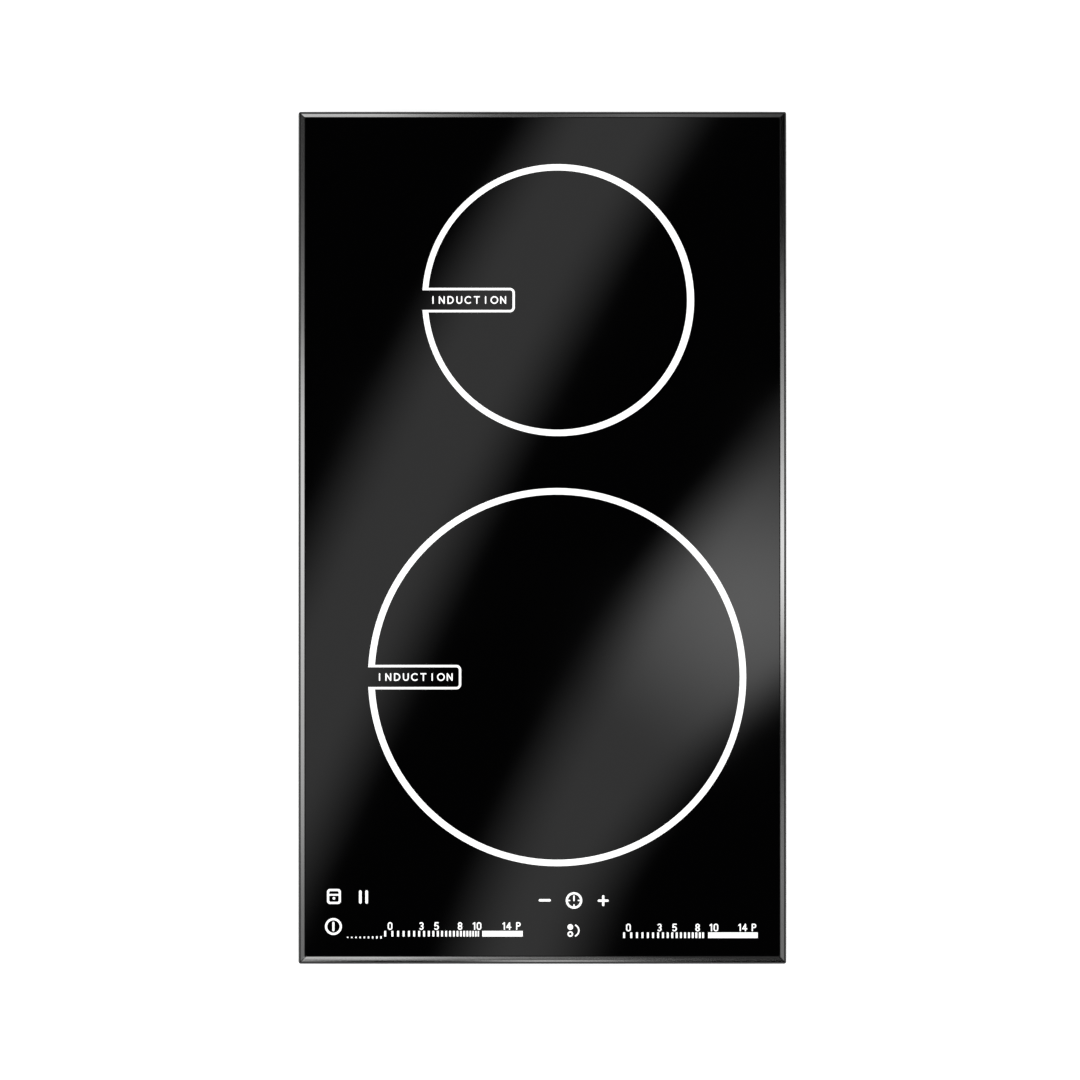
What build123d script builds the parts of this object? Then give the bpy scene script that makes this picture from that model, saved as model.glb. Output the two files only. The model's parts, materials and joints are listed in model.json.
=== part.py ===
from build123d import *
import math
import os

os.makedirs("parts", exist_ok=True)

# Built-in two-zone induction cooktop. Millimetres, +Z up, +Y to the rear of the worktop.
# Z = 0 is the top of the worktop, where the sealing gasket rests.

# Overall sizes
HOB_WIDTH = 292.0
HOB_DEPTH = 510.0
HALF_WIDTH = HOB_WIDTH / 2
HALF_DEPTH = HOB_DEPTH / 2
SHEET = 0.8
PLAY = 0.3
RUNNING_GAP = 0.05

# Glass and the trim around it
GLASS_BOTTOM = 1.5
GLASS_THICK = 4.0
GLASS_TOP = GLASS_BOTTOM + GLASS_THICK
SEAL_WIDTH = 0.4
SEAL_DROP = 0.15
TRIM_FOOT = 0.2
TRIM_SHOULDER = 5.2
TRIM_TOP = 6.2
TRIM_INNER_TOP = 5.6
TRIM_SIDE = 3.5
TRIM_REAR = 3.1
TRIM_FRONT = 4.2
TRIM_OUTER_BEVEL = 0.8
TRIM_CREST = 0.35
TRIM_LIP = 1.2
TRIM_LIP_THICK = 1.0
TRIM_CORNER = 1.4
MITRE_REACH = 1.6

# Printed enamel
ENAMEL = 0.05
REAR_ZONE = (9.0, 142.3)
REAR_ZONE_RADIUS = 77.6
REAR_ZONE_LINE = 3.8
FRONT_ZONE = (8.8, -83.4)
FRONT_ZONE_RADIUS = 109.3
FRONT_ZONE_LINE = 3.9
LABEL_LINE = 1.4
LABEL_HEIGHT = 14.6
LABEL_CORNER = 3.0
LETTER_HEIGHT = 3.9
LETTER_STROKE = 0.75
LETTER_PITCH = 5.25
DIGIT_HEIGHT = 3.9
DIGIT_STROKE = 0.75
ICON_STROKE = 1.3

# Tray and worktop cut-out
CUTOUT_HALF_X = 135.0
CUTOUT_HALF_Y = 245.0
TRAY_HALF_X = 126.0
TRAY_HALF_Y = 241.0
TRAY_CORNER = 6.0
TRAY_BEND = 0.6
CORNER_SEAM = 0.1
TRAY_BASE = -48.0
TRAY_FLOOR = TRAY_BASE + SHEET
FLANGE_HALF_X = 134.2
FLANGE_HALF_Y = 244.2
FLANGE_TOP = 1.0
FLANGE_BOTTOM = FLANGE_TOP - SHEET
GASKET_INNER_X = CUTOUT_HALF_X + 1.0
GASKET_INNER_Y = CUTOUT_HALF_Y + 1.0
GASKET_OUTER_X = 140.6
GASKET_OUTER_Y = 249.0
GASKET_BUTT_GAP = 0.2

# Fan
FAN_CENTER = (55.0, 165.0)
FAN_INTAKE_RADIUS = 36.0
FAN_HOUSING_BOTTOM = TRAY_FLOOR + 0.1
FAN_HOUSING_TOP = -28.0
FAN_WALL = 1.2
FAN_SCROLL_RADIUS = 42.0
IMPELLER_RADIUS = 33.5
IMPELLER_BOTTOM = -45.0
IMPELLER_BACKPLATE = -36.5
FAN_SHAFT_RADIUS = 1.5

# Coil stack, each level the top or bottom of a layer
DECK_BOTTOM = -22.0
DECK_TOP = -21.0
SHIELD_BOTTOM = -13.6
SHIELD_TOP = -12.8
FERRITE_BOTTOM = -12.5
FERRITE_TOP = -7.5
CARRIER_BOTTOM = -7.2
CARRIER_TOP = -4.0
WINDING_BOTTOM = -3.8
WINDING_TOP = -0.2
MICA_BOTTOM = 0.1
MICA_TOP = 0.7
SENSOR_TOP = 1.1
FRONT_COIL_RADIUS = 105.0
REAR_COIL_RADIUS = 73.5

# Power board
BOARD_BOTTOM = -41.0
BOARD_TOP = -39.4
BOARD_LEFT = -117.0
BOARD_RIGHT = 8.0
BOARD_FRONT = -184.0
BOARD_REAR = 104.0

# Terminal compartment in the rear wall
TERMINAL_LEFT = -114.0
TERMINAL_RIGHT = -52.0
TERMINAL_FRONT = 190.0
TERMINAL_BOTTOM = -46.0
TERMINAL_TOP = -18.0
TERMINAL_WALL = 2.0
DOORWAY_INSET = 2.5
LID_THICK = 1.7
LID_PIN_RADIUS = 0.8
LID_BARREL_RADIUS = 1.7
LID_AXIS_Y = 243.1
LID_AXIS_X = TERMINAL_LEFT - 2.6
INLET_CENTER = (-34.0, -32.0)
INLET_RADIUS = 5.5
EARTH_X = -14.0
EARTH_RADIUS = 2.0

# Worktop clamps
CLAMP_X = 130.6
CLAMP_Y = 150.0
CLAMP_REACH = 28.0
CLAMP_WIDTH = 8.0
CLAMP_PLATE_BOTTOM = -44.0
CLAMP_PLATE_TOP = -42.0
CLAMP_TIP_TOP = -38.2
CLAMP_TIP_THICK = 2.0
CLAMP_SCREW_RADIUS = 2.0
EAR_TOP = -11.2
EAR_COLLAR_TOP = -8.0

# Touch board under the front of the glass
TOUCH_FRONT = -239.4
TOUCH_REAR = -200.0
TOUCH_HALF_X = 124.0
TOUCH_BOTTOM = -8.0
TOUCH_TOP = -6.4


def line_stroke(start, end, width):
    """One straight pen stroke with round ends."""
    start = Vector(start)
    end = Vector(end)
    run = end - start
    turn = math.degrees(math.atan2(run.Y, run.X))
    with Locations((start + end) / 2):
        SlotCenterToCenter(run.length, width, rotation=turn)


def arc_stroke(center, radius, start, sweep, width):
    """One curved pen stroke with round ends, turning from the start angle."""
    SlotArc(CenterArc(center, radius, start, sweep), width)


def circle_stroke(center, radius, width):
    """A closed ring drawn as two half turns."""
    arc_stroke(center, radius, 0, 180, width)
    arc_stroke(center, radius, 180, 180, width)


# Plain single-stroke characters, one unit high and centred on the origin.
LINE_STROKES = {
    "I": [((0, -0.5), (0, 0.5))],
    "N": [((-0.36, -0.5), (-0.36, 0.5)), ((-0.36, 0.5), (0.36, -0.5)), ((0.36, -0.5), (0.36, 0.5))],
    "D": [((-0.38, -0.5), (-0.38, 0.5)), ((-0.38, 0.5), (-0.1, 0.5)), ((-0.38, -0.5), (-0.1, -0.5))],
    "U": [((-0.36, 0.5), (-0.36, -0.14)), ((0.36, -0.14), (0.36, 0.5))],
    "C": [],
    "T": [((-0.38, 0.5), (0.38, 0.5)), ((0, 0.5), (0, -0.5))],
    "O": [],
    "P": [((-0.25, -0.5), (-0.25, 0.5)), ((-0.25, 0.5), (0.02, 0.5)), ((-0.25, 0), (0.02, 0))],
    "0": [((-0.27, -0.23), (-0.27, 0.23)), ((0.27, -0.23), (0.27, 0.23))],
    "1": [((0.08, -0.5), (0.08, 0.5)), ((0.08, 0.5), (-0.14, 0.34))],
    "3": [],
    "4": [((0.12, -0.5), (0.12, 0.5)), ((0.12, 0.5), (-0.3, -0.2)), ((-0.3, -0.2), (0.32, -0.2))],
    "5": [((0.24, 0.5), (-0.2, 0.5)), ((-0.2, 0.5), (-0.24, 0.02))],
    "8": [],
}
ARC_STROKES = {
    "D": [((-0.1, 0), 0.5, -90, 180)],
    "U": [((0, -0.14), 0.36, 180, 180)],
    "C": [((0.05, 0), 0.5, 50, 260)],
    "O": [((0, 0), 0.5, 0, 180), ((0, 0), 0.5, 180, 180)],
    "P": [((0.02, 0.25), 0.25, 90, -180)],
    "0": [((0, 0.23), 0.27, 0, 180), ((0, -0.23), 0.27, 180, 180)],
    "3": [((-0.02, 0.25), 0.25, 140, -230), ((-0.02, -0.25), 0.25, 90, -230)],
    "5": [((-0.03, -0.2), 0.3, 133, -270)],
    "8": [
        ((0, 0.26), 0.24, 0, 180),
        ((0, 0.26), 0.24, 180, 180),
        ((0, -0.25), 0.25, 0, 180),
        ((0, -0.25), 0.25, 180, 180),
    ],
}


def character(letter, center, height, width):
    """One character of the plain stroke lettering."""
    with Locations(center):
        for start, end in LINE_STROKES[letter]:
            line_stroke(Vector(start) * height, Vector(end) * height, width)
        for middle, radius, start, sweep in ARC_STROKES.get(letter, []):
            arc_stroke(Vector(middle) * height, radius * height, start, sweep, width)


def number(text, center):
    """A printed number, its digits side by side."""
    pitch = DIGIT_HEIGHT * 0.75
    first = center[0] - pitch * (len(text) - 1) / 2
    for place, digit in enumerate(text):
        character(digit, (first + place * pitch, center[1]), DIGIT_HEIGHT, DIGIT_STROKE)


# Glass plate
glass_left = -HALF_WIDTH + TRIM_SIDE + SEAL_WIDTH
glass_front = -HALF_DEPTH + TRIM_FRONT + SEAL_WIDTH
glass_rear = HALF_DEPTH - TRIM_REAR - SEAL_WIDTH
glass_middle_y = (glass_front + glass_rear) / 2
glass_size = (-2 * glass_left, glass_rear - glass_front)
with BuildPart() as glass_plate:
    with BuildSketch(Plane.XY.offset(GLASS_BOTTOM)):
        with Locations((0, glass_middle_y)):
            RectangleRounded(*glass_size, 1.0)
    extrude(amount=GLASS_THICK)
    chamfer(glass_plate.edges().group_by(Axis.Z)[-1], 0.2)
glass_plate.part.label = "glass_plate"
export_step(glass_plate.part, "parts/glass_plate.step")


# Dark seal in the joint between the glass and the trim
with BuildPart() as glass_edge_seal:
    with BuildSketch(Plane.XY.offset(GLASS_BOTTOM)):
        with Locations((0, glass_middle_y)):
            Rectangle(glass_size[0] + 2 * SEAL_WIDTH, glass_size[1] + 2 * SEAL_WIDTH)
            RectangleRounded(*glass_size, 1.0, mode=Mode.SUBTRACT)
    extrude(amount=GLASS_THICK - SEAL_DROP)
glass_edge_seal.part.label = "glass_edge_seal"
export_step(glass_edge_seal.part, "parts/glass_edge_seal.step")


def trim_bar(label, inward, width, outer_corners, inner_corners, facets):
    """One mitred bar of the bevelled trim, its profile measured inward from the outer edge."""
    inward = Vector(inward)
    edge_middle = (Vector(outer_corners[0]) + Vector(outer_corners[1])) / 2
    profile_plane = Plane(origin=edge_middle, x_dir=inward, z_dir=inward.cross(Vector(0, 0, 1)))
    lip_top = TRIM_FOOT + TRIM_LIP_THICK
    with BuildPart() as bar:
        with BuildSketch(profile_plane):
            with BuildLine():
                Polyline(
                    (0, TRIM_FOOT),
                    (0, TRIM_SHOULDER),
                    (TRIM_OUTER_BEVEL, TRIM_TOP - 0.1),
                    (TRIM_OUTER_BEVEL + TRIM_CREST, TRIM_TOP),
                    *facets,
                    (width, TRIM_INNER_TOP),
                    (width, lip_top),
                    (width + TRIM_LIP, lip_top),
                    (width + TRIM_LIP, TRIM_FOOT),
                    close=True,
                )
            make_face()
        extrude(amount=HALF_DEPTH, both=True)
        with BuildSketch(Plane.XY):
            with BuildLine():
                reach = [
                    Vector(outer) + (Vector(inner) - Vector(outer)) * MITRE_REACH
                    for outer, inner in zip(outer_corners, inner_corners)
                ]
                Polyline(outer_corners[0], outer_corners[1], reach[1], reach[0], close=True)
            make_face()
            RectangleRounded(HOB_WIDTH, HOB_DEPTH, TRIM_CORNER, mode=Mode.INTERSECT)
        extrude(amount=TRIM_TOP + 1, mode=Mode.INTERSECT)
    bar.part.label = label
    export_step(bar.part, f"parts/{label}.step")


# Bevelled trim, four mitred bars
inner_x = HALF_WIDTH - TRIM_SIDE
inner_front = -HALF_DEPTH + TRIM_FRONT
inner_rear = HALF_DEPTH - TRIM_REAR
front_facets = [(2.1, TRIM_TOP - 0.02), (3.1, TRIM_TOP - 0.25)]
front_outer = [(-HALF_WIDTH, -HALF_DEPTH), (HALF_WIDTH, -HALF_DEPTH)]
front_inner = [(-inner_x, inner_front), (inner_x, inner_front)]
rear_outer = [(-HALF_WIDTH, HALF_DEPTH), (HALF_WIDTH, HALF_DEPTH)]
rear_inner = [(-inner_x, inner_rear), (inner_x, inner_rear)]
trim_bar("trim_front", (0, 1, 0), TRIM_FRONT, front_outer, front_inner, front_facets)
trim_bar("trim_rear", (0, -1, 0), TRIM_REAR, rear_outer, rear_inner, [])
for label, side in (("trim_left", 0), ("trim_right", 1)):
    toward_middle = (1 - 2 * side, 0, 0)
    outer = [front_outer[side], rear_outer[side]]
    inner = [front_inner[side], rear_inner[side]]
    trim_bar(label, toward_middle, TRIM_SIDE, outer, inner, [])


def zone_mark(label, center, outer_shift, radius, line, word_left, tag_right):
    """A cooking-zone ring, open on the left for a rounded tag that holds a plain word."""
    outer_center = (center[0] + outer_shift, center[1])
    outer_radius = radius + line
    ring_left = outer_center[0] - outer_radius
    tag_half_length = tag_right - ring_left + line
    word = "INDUCTION"
    with BuildPart() as mark:
        with BuildSketch(Plane.XY.offset(GLASS_TOP)):
            with Locations(outer_center):
                Circle(outer_radius)
            with Locations(center):
                Circle(radius, mode=Mode.SUBTRACT)
            with Locations((ring_left, center[1])):
                Rectangle(4 * line, LABEL_HEIGHT - 2 * LABEL_LINE, mode=Mode.SUBTRACT)
        extrude(amount=ENAMEL)
        with BuildSketch(Plane.XY.offset(GLASS_TOP)):
            with Locations((tag_right - tag_half_length, center[1])):
                RectangleRounded(2 * tag_half_length, LABEL_HEIGHT, LABEL_CORNER)
            with Locations((tag_right - LABEL_LINE - tag_half_length, center[1])):
                RectangleRounded(
                    2 * tag_half_length,
                    LABEL_HEIGHT - 2 * LABEL_LINE,
                    LABEL_CORNER - LABEL_LINE,
                    mode=Mode.SUBTRACT,
                )
            with Locations(outer_center):
                Circle(outer_radius - 0.1, mode=Mode.INTERSECT)
            for place, letter in enumerate(word):
                spot = (word_left + place * LETTER_PITCH, center[1] + 0.05)
                character(letter, spot, LETTER_HEIGHT, LETTER_STROKE)
        extrude(amount=ENAMEL)
    mark.part.label = label
    export_step(mark.part, f"parts/{label}.step")


# Cooking-zone marks
zone_mark("zone_mark_rear", REAR_ZONE, 0.4, REAR_ZONE_RADIUS, REAR_ZONE_LINE, -65.5, -16.5)
zone_mark("zone_mark_front", FRONT_ZONE, 0.0, FRONT_ZONE_RADIUS, FRONT_ZONE_LINE, -97.5, -48.6)


def power_scale(first_tick, bar_start, bar_end, tick_middle_y, numbers, lead_dots):
    """Ticks that close up until they merge into a solid bar, with numbers above."""
    tick_length = 3.4
    tick_width = 1.15
    place = first_tick
    pitch = 4.3
    next_pitch = 3.4
    while place < bar_start - tick_width:
        with Locations((place, tick_middle_y)):
            Rectangle(min(tick_width, 0.62 * pitch), tick_length)
        place += pitch
        pitch = next_pitch
        next_pitch = max(next_pitch - 0.095, 1.3)
    with Locations(((bar_start + bar_end) / 2, tick_middle_y)):
        Rectangle(bar_end - bar_start, tick_length)
    for dot in range(lead_dots):
        with Locations((first_tick - 2.5 * (dot + 1), tick_middle_y - 2.2)):
            Rectangle(0.9, 1.5 - 0.1 * dot)
    for text, x in numbers:
        number(text, (x, tick_middle_y + 4.6))


# The two power scales on the front edge
left_numbers = [("0", -91.2), ("3", -72.4), ("5", -63.4), ("8", -49.3), ("10", -39.4), ("14", -21.6), ("P", -14.4)]
right_numbers = [("0", 51.5), ("3", 70.1), ("5", 79.1), ("8", 92.9), ("10", 102.4), ("14", 119.6), ("P", 126.6)]
with BuildPart() as slider_marks:
    with BuildSketch(Plane.XY.offset(GLASS_TOP)):
        power_scale(-94.1, -36.0, -11.8, -237.0, left_numbers, 9)
        power_scale(48.9, 99.2, 128.9, -237.9, right_numbers, 0)
    extrude(amount=ENAMEL)
slider_marks.part.label = "slider_marks"
export_step(slider_marks.part, "parts/slider_marks.step")


def lock_icon(center):
    """A rounded square with a shackle line and a keyhole."""
    with Locations(center):
        RectangleRounded(8.3, 9.0, 1.8)
        RectangleRounded(8.3 - 2 * ICON_STROKE, 9.0 - 2 * ICON_STROKE, 0.8, mode=Mode.SUBTRACT)
    with Locations((center[0], center[1] + 1.0)):
        Rectangle(8.0, 1.0)
    with Locations((center[0], center[1] - 1.1)):
        Circle(0.8)


def power_icon(center):
    """A ring with an upright bar inside."""
    circle_stroke(center, 4.4, ICON_STROKE)
    line_stroke((center[0], center[1] - 2.2), (center[0], center[1] + 2.2), ICON_STROKE)


def pause_icon(center):
    """Two upright bars."""
    for side in (-1, 1):
        line_stroke(
            (center[0] + side * 1.9, center[1] - 3.2), (center[0] + side * 1.9, center[1] + 3.2), 1.6
        )


def timer_icon(center):
    """A clock face with quarter marks and an upright hand."""
    circle_stroke(center, 4.3, ICON_STROKE)
    line_stroke(center, (center[0], center[1] + 2.6), 0.9)
    for angle in (0, 180, 270):
        outward = Vector(1, 0).rotate(Axis.Z, angle)
        line_stroke(Vector(center) + outward * 2.6, Vector(center) + outward * 4.0, 0.8)


def bridge_icon(center):
    """A filled dot above a small ring, joined by a curved line at the right."""
    with Locations((center[0] - 1.9, center[1] + 2.1)):
        Circle(1.7)
    circle_stroke((center[0] - 1.9, center[1] - 2.1), 1.25, 0.9)
    arc_stroke((center[0] - 0.4, center[1]), 3.6, -62, 124, 0.9)


# Touch-key symbols
with BuildPart() as control_icon_marks:
    with BuildSketch(Plane.XY.offset(GLASS_TOP)):
        lock_icon((-124.8, -214.7))
        power_icon((-125.1, -232.7))
        pause_icon((-107.1, -215.0))
        timer_icon((18.9, -217.1))
        bridge_icon((18.6, -235.1))
        line_stroke((-1.5, -217.0), (4.3, -217.0), 1.5)
        line_stroke((33.8, -217.2), (39.0, -217.2), 1.4)
        line_stroke((36.4, -219.8), (36.4, -214.6), 1.4)
    extrude(amount=ENAMEL)
control_icon_marks.part.label = "control_icon_marks"
export_step(control_icon_marks.part, "parts/control_icon_marks.step")


# Silicone bead that bonds the tray flange to the glass
with BuildPart() as glass_adhesive:
    with BuildSketch(Plane.XY.offset(FLANGE_TOP)):
        RectangleRounded(2 * FLANGE_HALF_X - 1, 2 * FLANGE_HALF_Y - 1, TRAY_CORNER + 1)
        RectangleRounded(2 * TRAY_HALF_X + 1, 2 * TRAY_HALF_Y + 1, TRAY_CORNER, mode=Mode.SUBTRACT)
    extrude(amount=GLASS_BOTTOM - FLANGE_TOP)
glass_adhesive.part.label = "glass_adhesive"
export_step(glass_adhesive.part, "parts/glass_adhesive.step")


# Four foam strips between the glass and the worktop
with BuildPart() as worktop_gasket:
    gasket_width_x = GASKET_OUTER_X - GASKET_INNER_X
    gasket_width_y = GASKET_OUTER_Y - GASKET_INNER_Y
    with BuildSketch(Plane.XY):
        for side in (-1, 1):
            with Locations((0, side * (GASKET_INNER_Y + gasket_width_y / 2))):
                Rectangle(2 * GASKET_OUTER_X, gasket_width_y)
            with Locations((side * (GASKET_INNER_X + gasket_width_x / 2), 0)):
                Rectangle(gasket_width_x, 2 * (GASKET_INNER_Y - GASKET_BUTT_GAP))
    extrude(amount=GLASS_BOTTOM)
worktop_gasket.part.label = "worktop_gasket"
export_step(worktop_gasket.part, "parts/worktop_gasket.step")


# Places shared by the tray's floor and walls
clamp_spots = [(side * CLAMP_X, end * CLAMP_Y) for side in (-1, 1) for end in (-1, 1)]
corner_spots = [(side * (TRAY_HALF_X + 1), end * (TRAY_HALF_Y + 1)) for side in (-1, 1) for end in (-1, 1)]
exhaust_half = (58.0, 11.0)
exhaust_middle_z = -30.0
doorway_left = TERMINAL_LEFT - 1.0
doorway_right = TERMINAL_RIGHT - DOORWAY_INSET
doorway_bottom = TERMINAL_BOTTOM + DOORWAY_INSET
doorway_top = TERMINAL_TOP - DOORWAY_INSET
doorway_size = (doorway_right - doorway_left, doorway_top - doorway_bottom)
doorway_middle = ((doorway_left + doorway_right) / 2, (doorway_bottom + doorway_top) / 2)
rear_plane = Plane(origin=(0, TRAY_HALF_Y, 0), x_dir=(-1, 0, 0), z_dir=(0, 1, 0))
front_plane = Plane(origin=(0, -TRAY_HALF_Y, 0), x_dir=(1, 0, 0), z_dir=(0, -1, 0))


# Tray floor with the fan intake, louvre slots and stiffening grooves
with BuildPart() as tray_floor:
    with BuildSketch(Plane.XY.offset(TRAY_BASE)):
        RectangleRounded(2 * TRAY_HALF_X, 2 * TRAY_HALF_Y, TRAY_CORNER)
    extrude(amount=SHEET)
    fillet(tray_floor.edges().group_by(Axis.Z)[0], radius=TRAY_BEND)
    with BuildSketch(Plane.XY.offset(TRAY_BASE)):
        with Locations(FAN_CENTER):
            Circle(FAN_INTAKE_RADIUS)
        with Locations((-62, -214), (62, -214)):
            with GridLocations(8, 0, 12, 1):
                SlotOverall(26, 3.2, rotation=90)
    extrude(amount=SHEET, mode=Mode.SUBTRACT)
    with BuildSketch(Plane.XY.offset(TRAY_BASE)):
        with Locations((0, -175), (0, -115), (0, -55), (0, 5), (0, 65)):
            SlotOverall(190, 9)
            SlotOverall(184, 3, mode=Mode.SUBTRACT)
        with Locations((-70, 150)):
            SlotOverall(120, 9, rotation=90)
            SlotOverall(114, 3, rotation=90, mode=Mode.SUBTRACT)
    extrude(amount=SHEET / 2, mode=Mode.SUBTRACT)
tray_floor.part.label = "tray_floor"
export_step(tray_floor.part, "parts/tray_floor.step")


# Four tray walls with their flanges, open corner seams, vents and clamp ears
with BuildPart() as tray_walls:
    with BuildSketch(Plane.XY.offset(TRAY_FLOOR)):
        RectangleRounded(2 * TRAY_HALF_X, 2 * TRAY_HALF_Y, TRAY_CORNER)
    extrude(amount=FLANGE_BOTTOM - TRAY_FLOOR)
    with BuildSketch(Plane.XY.offset(FLANGE_BOTTOM)):
        RectangleRounded(2 * FLANGE_HALF_X, 2 * FLANGE_HALF_Y, TRAY_CORNER + 2)
    extrude(amount=SHEET)
    with BuildSketch(Plane.XY.offset(TRAY_FLOOR)):
        RectangleRounded(2 * (TRAY_HALF_X - SHEET), 2 * (TRAY_HALF_Y - SHEET), TRAY_CORNER - SHEET)
    extrude(amount=FLANGE_TOP - TRAY_FLOOR, mode=Mode.SUBTRACT)
    # Exhaust opening in the front wall
    with BuildSketch(front_plane):
        with Locations((0, exhaust_middle_z)):
            RectangleRounded(2 * exhaust_half[0], 2 * exhaust_half[1], 2)
    extrude(amount=-2 * SHEET, mode=Mode.SUBTRACT)
    # Doorway, cable hole and earth screw hole in the rear wall
    with BuildSketch(rear_plane):
        with Locations((-doorway_middle[0], doorway_middle[1])):
            RectangleRounded(*doorway_size, 1)
        with Locations((-INLET_CENTER[0], INLET_CENTER[1])):
            Circle(INLET_RADIUS + 2.0)
        with Locations((-EARTH_X, INLET_CENTER[1])):
            Circle(EARTH_RADIUS + RUNNING_GAP)
    extrude(amount=-2 * SHEET, mode=Mode.SUBTRACT)
    # Side vents
    for side in (-1, 1):
        with BuildSketch(Plane(origin=(side * TRAY_HALF_X, 0, 0), x_dir=(0, side, 0), z_dir=(side, 0, 0))):
            with Locations((side * 10, -30)):
                with GridLocations(7, 0, 14, 1):
                    SlotOverall(20, 2.6, rotation=90)
        extrude(amount=-2 * SHEET, mode=Mode.SUBTRACT)
    # Clamp ears with their threaded collars
    with BuildSketch(Plane.XY.offset(EAR_TOP - SHEET)):
        for x, y in clamp_spots:
            ear_reach = abs(x) + CLAMP_WIDTH / 2 - TRAY_HALF_X + SHEET / 2
            with Locations((math.copysign(TRAY_HALF_X - SHEET / 2 + ear_reach / 2, x), y)):
                Rectangle(ear_reach, 15)
    extrude(amount=SHEET)
    with BuildSketch(Plane.XY.offset(EAR_TOP)):
        with Locations(*clamp_spots):
            Circle(3.6)
    extrude(amount=EAR_COLLAR_TOP - EAR_TOP)
    with BuildSketch(Plane.XY.offset(EAR_TOP - SHEET)):
        with Locations(*clamp_spots):
            Circle(CLAMP_SCREW_RADIUS + RUNNING_GAP)
    extrude(amount=EAR_COLLAR_TOP - EAR_TOP + SHEET, mode=Mode.SUBTRACT)
    # Corner seams
    with BuildSketch(Plane.XY.offset(TRAY_FLOOR)):
        for x, y in corner_spots:
            with Locations((x, y)):
                Rectangle(40, CORNER_SEAM, rotation=math.copysign(45, x * y))
    extrude(amount=FLANGE_TOP - TRAY_FLOOR, mode=Mode.SUBTRACT)
    # Panels that meet face to face under the flange and beside the doorway
    split(bisect_by=Plane.XY.offset(FLANGE_BOTTOM), keep=Keep.BOTH)
    split(bisect_by=Plane.YZ.offset(doorway_left), keep=Keep.BOTH)
    split(bisect_by=Plane.YZ.offset(doorway_right), keep=Keep.BOTH)
tray_walls.part.label = "tray_walls"
export_step(tray_walls.part, "parts/tray_walls.step")


# Round guard in the fan intake, rings tied by spokes
with BuildPart() as fan_intake_grille:
    with BuildSketch(Plane.XY.offset(TRAY_BASE + 0.05)):
        for radius in range(35, 5, -5):
            with Locations(FAN_CENTER):
                Circle(radius + 0.9)
                Circle(radius - 0.9, mode=Mode.SUBTRACT)
        with Locations(FAN_CENTER):
            Circle(5)
            with PolarLocations((FAN_INTAKE_RADIUS + 2) / 2, 6):
                Rectangle(FAN_INTAKE_RADIUS - 5, 1.8)
    extrude(amount=SHEET)
fan_intake_grille.part.label = "fan_intake_grille"
export_step(fan_intake_grille.part, "parts/fan_intake_grille.step")


# Barred insert in the front exhaust opening
with BuildPart() as exhaust_grille:
    with BuildSketch(front_plane.offset(0.6)):
        with Locations((0, exhaust_middle_z)):
            RectangleRounded(2 * exhaust_half[0] + 6, 2 * exhaust_half[1] + 6, 3)
    extrude(amount=-0.55)
    with BuildSketch(front_plane.offset(0.05)):
        with Locations((0, exhaust_middle_z)):
            RectangleRounded(2 * exhaust_half[0] - 0.2, 2 * exhaust_half[1] - 0.2, 2)
    extrude(amount=-3.0)
    with BuildSketch(front_plane.offset(0.6)):
        with Locations((0, exhaust_middle_z)):
            with GridLocations(4.6, 0, 24, 1):
                SlotOverall(2 * exhaust_half[1] - 3, 3, rotation=90)
    extrude(amount=-4.0, mode=Mode.SUBTRACT)
exhaust_grille.part.label = "exhaust_grille"
export_step(exhaust_grille.part, "parts/exhaust_grille.step")


# Aluminium deck that carries both coils above the electronics
post_spots = [(side * 121.4, y) for side in (-1, 1) for y in (-188, -70, 60, 229)]
front_spring_spots = [(FRONT_ZONE[0] + 92 * math.cos(a), FRONT_ZONE[1] + 92 * math.sin(a))
                      for a in (math.radians(30), math.radians(150), math.radians(270))]
rear_spring_spots = [(REAR_ZONE[0] + 62 * math.cos(a), REAR_ZONE[1] + 62 * math.sin(a))
                     for a in (math.radians(30), math.radians(150), math.radians(270))]
front_lead_spots = [(-66.0, -126.0), (-75.0, -113.0)]
rear_lead_spots = [(-41.0, 96.0), (-32.5, 96.2)]
with BuildPart() as coil_deck:
    with BuildSketch(Plane.XY.offset(DECK_BOTTOM)):
        with Locations((0, 21)):
            RectangleRounded(249.2, 426, 4)
        with Locations(((TERMINAL_LEFT + TERMINAL_RIGHT) / 2, TERMINAL_FRONT + 26)):
            Rectangle(TERMINAL_RIGHT - TERMINAL_LEFT + 4, 56, mode=Mode.SUBTRACT)
        with Locations(*post_spots):
            Circle(1.7, mode=Mode.SUBTRACT)
        with Locations(*front_lead_spots, *rear_lead_spots):
            Circle(3.5, mode=Mode.SUBTRACT)
        with Locations(FRONT_ZONE, REAR_ZONE):
            Circle(14, mode=Mode.SUBTRACT)
            with PolarLocations(38, 8):
                SlotOverall(22, 6, mode=Mode.SUBTRACT)
    extrude(amount=DECK_TOP - DECK_BOTTOM)
coil_deck.part.label = "coil_deck"
export_step(coil_deck.part, "parts/coil_deck.step")


# Threaded posts between the tray floor and the deck
with BuildPart() as deck_posts:
    with BuildSketch(Plane.XY.offset(TRAY_FLOOR)):
        with Locations(*post_spots):
            RegularPolygon(3.4, 6)
    extrude(amount=DECK_BOTTOM - TRAY_FLOOR)
    with BuildSketch(Plane.XY.offset(DECK_BOTTOM)):
        with Locations(*post_spots):
            Circle(1.5)
    extrude(amount=DECK_TOP - DECK_BOTTOM)
    with BuildSketch(Plane.XY.offset(DECK_TOP)):
        with Locations(*post_spots):
            Circle(2.9)
            Rectangle(4, 0.8, mode=Mode.SUBTRACT)
    extrude(amount=1.8)
deck_posts.part.label = "deck_posts"
export_step(deck_posts.part, "parts/deck_posts.step")


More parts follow.
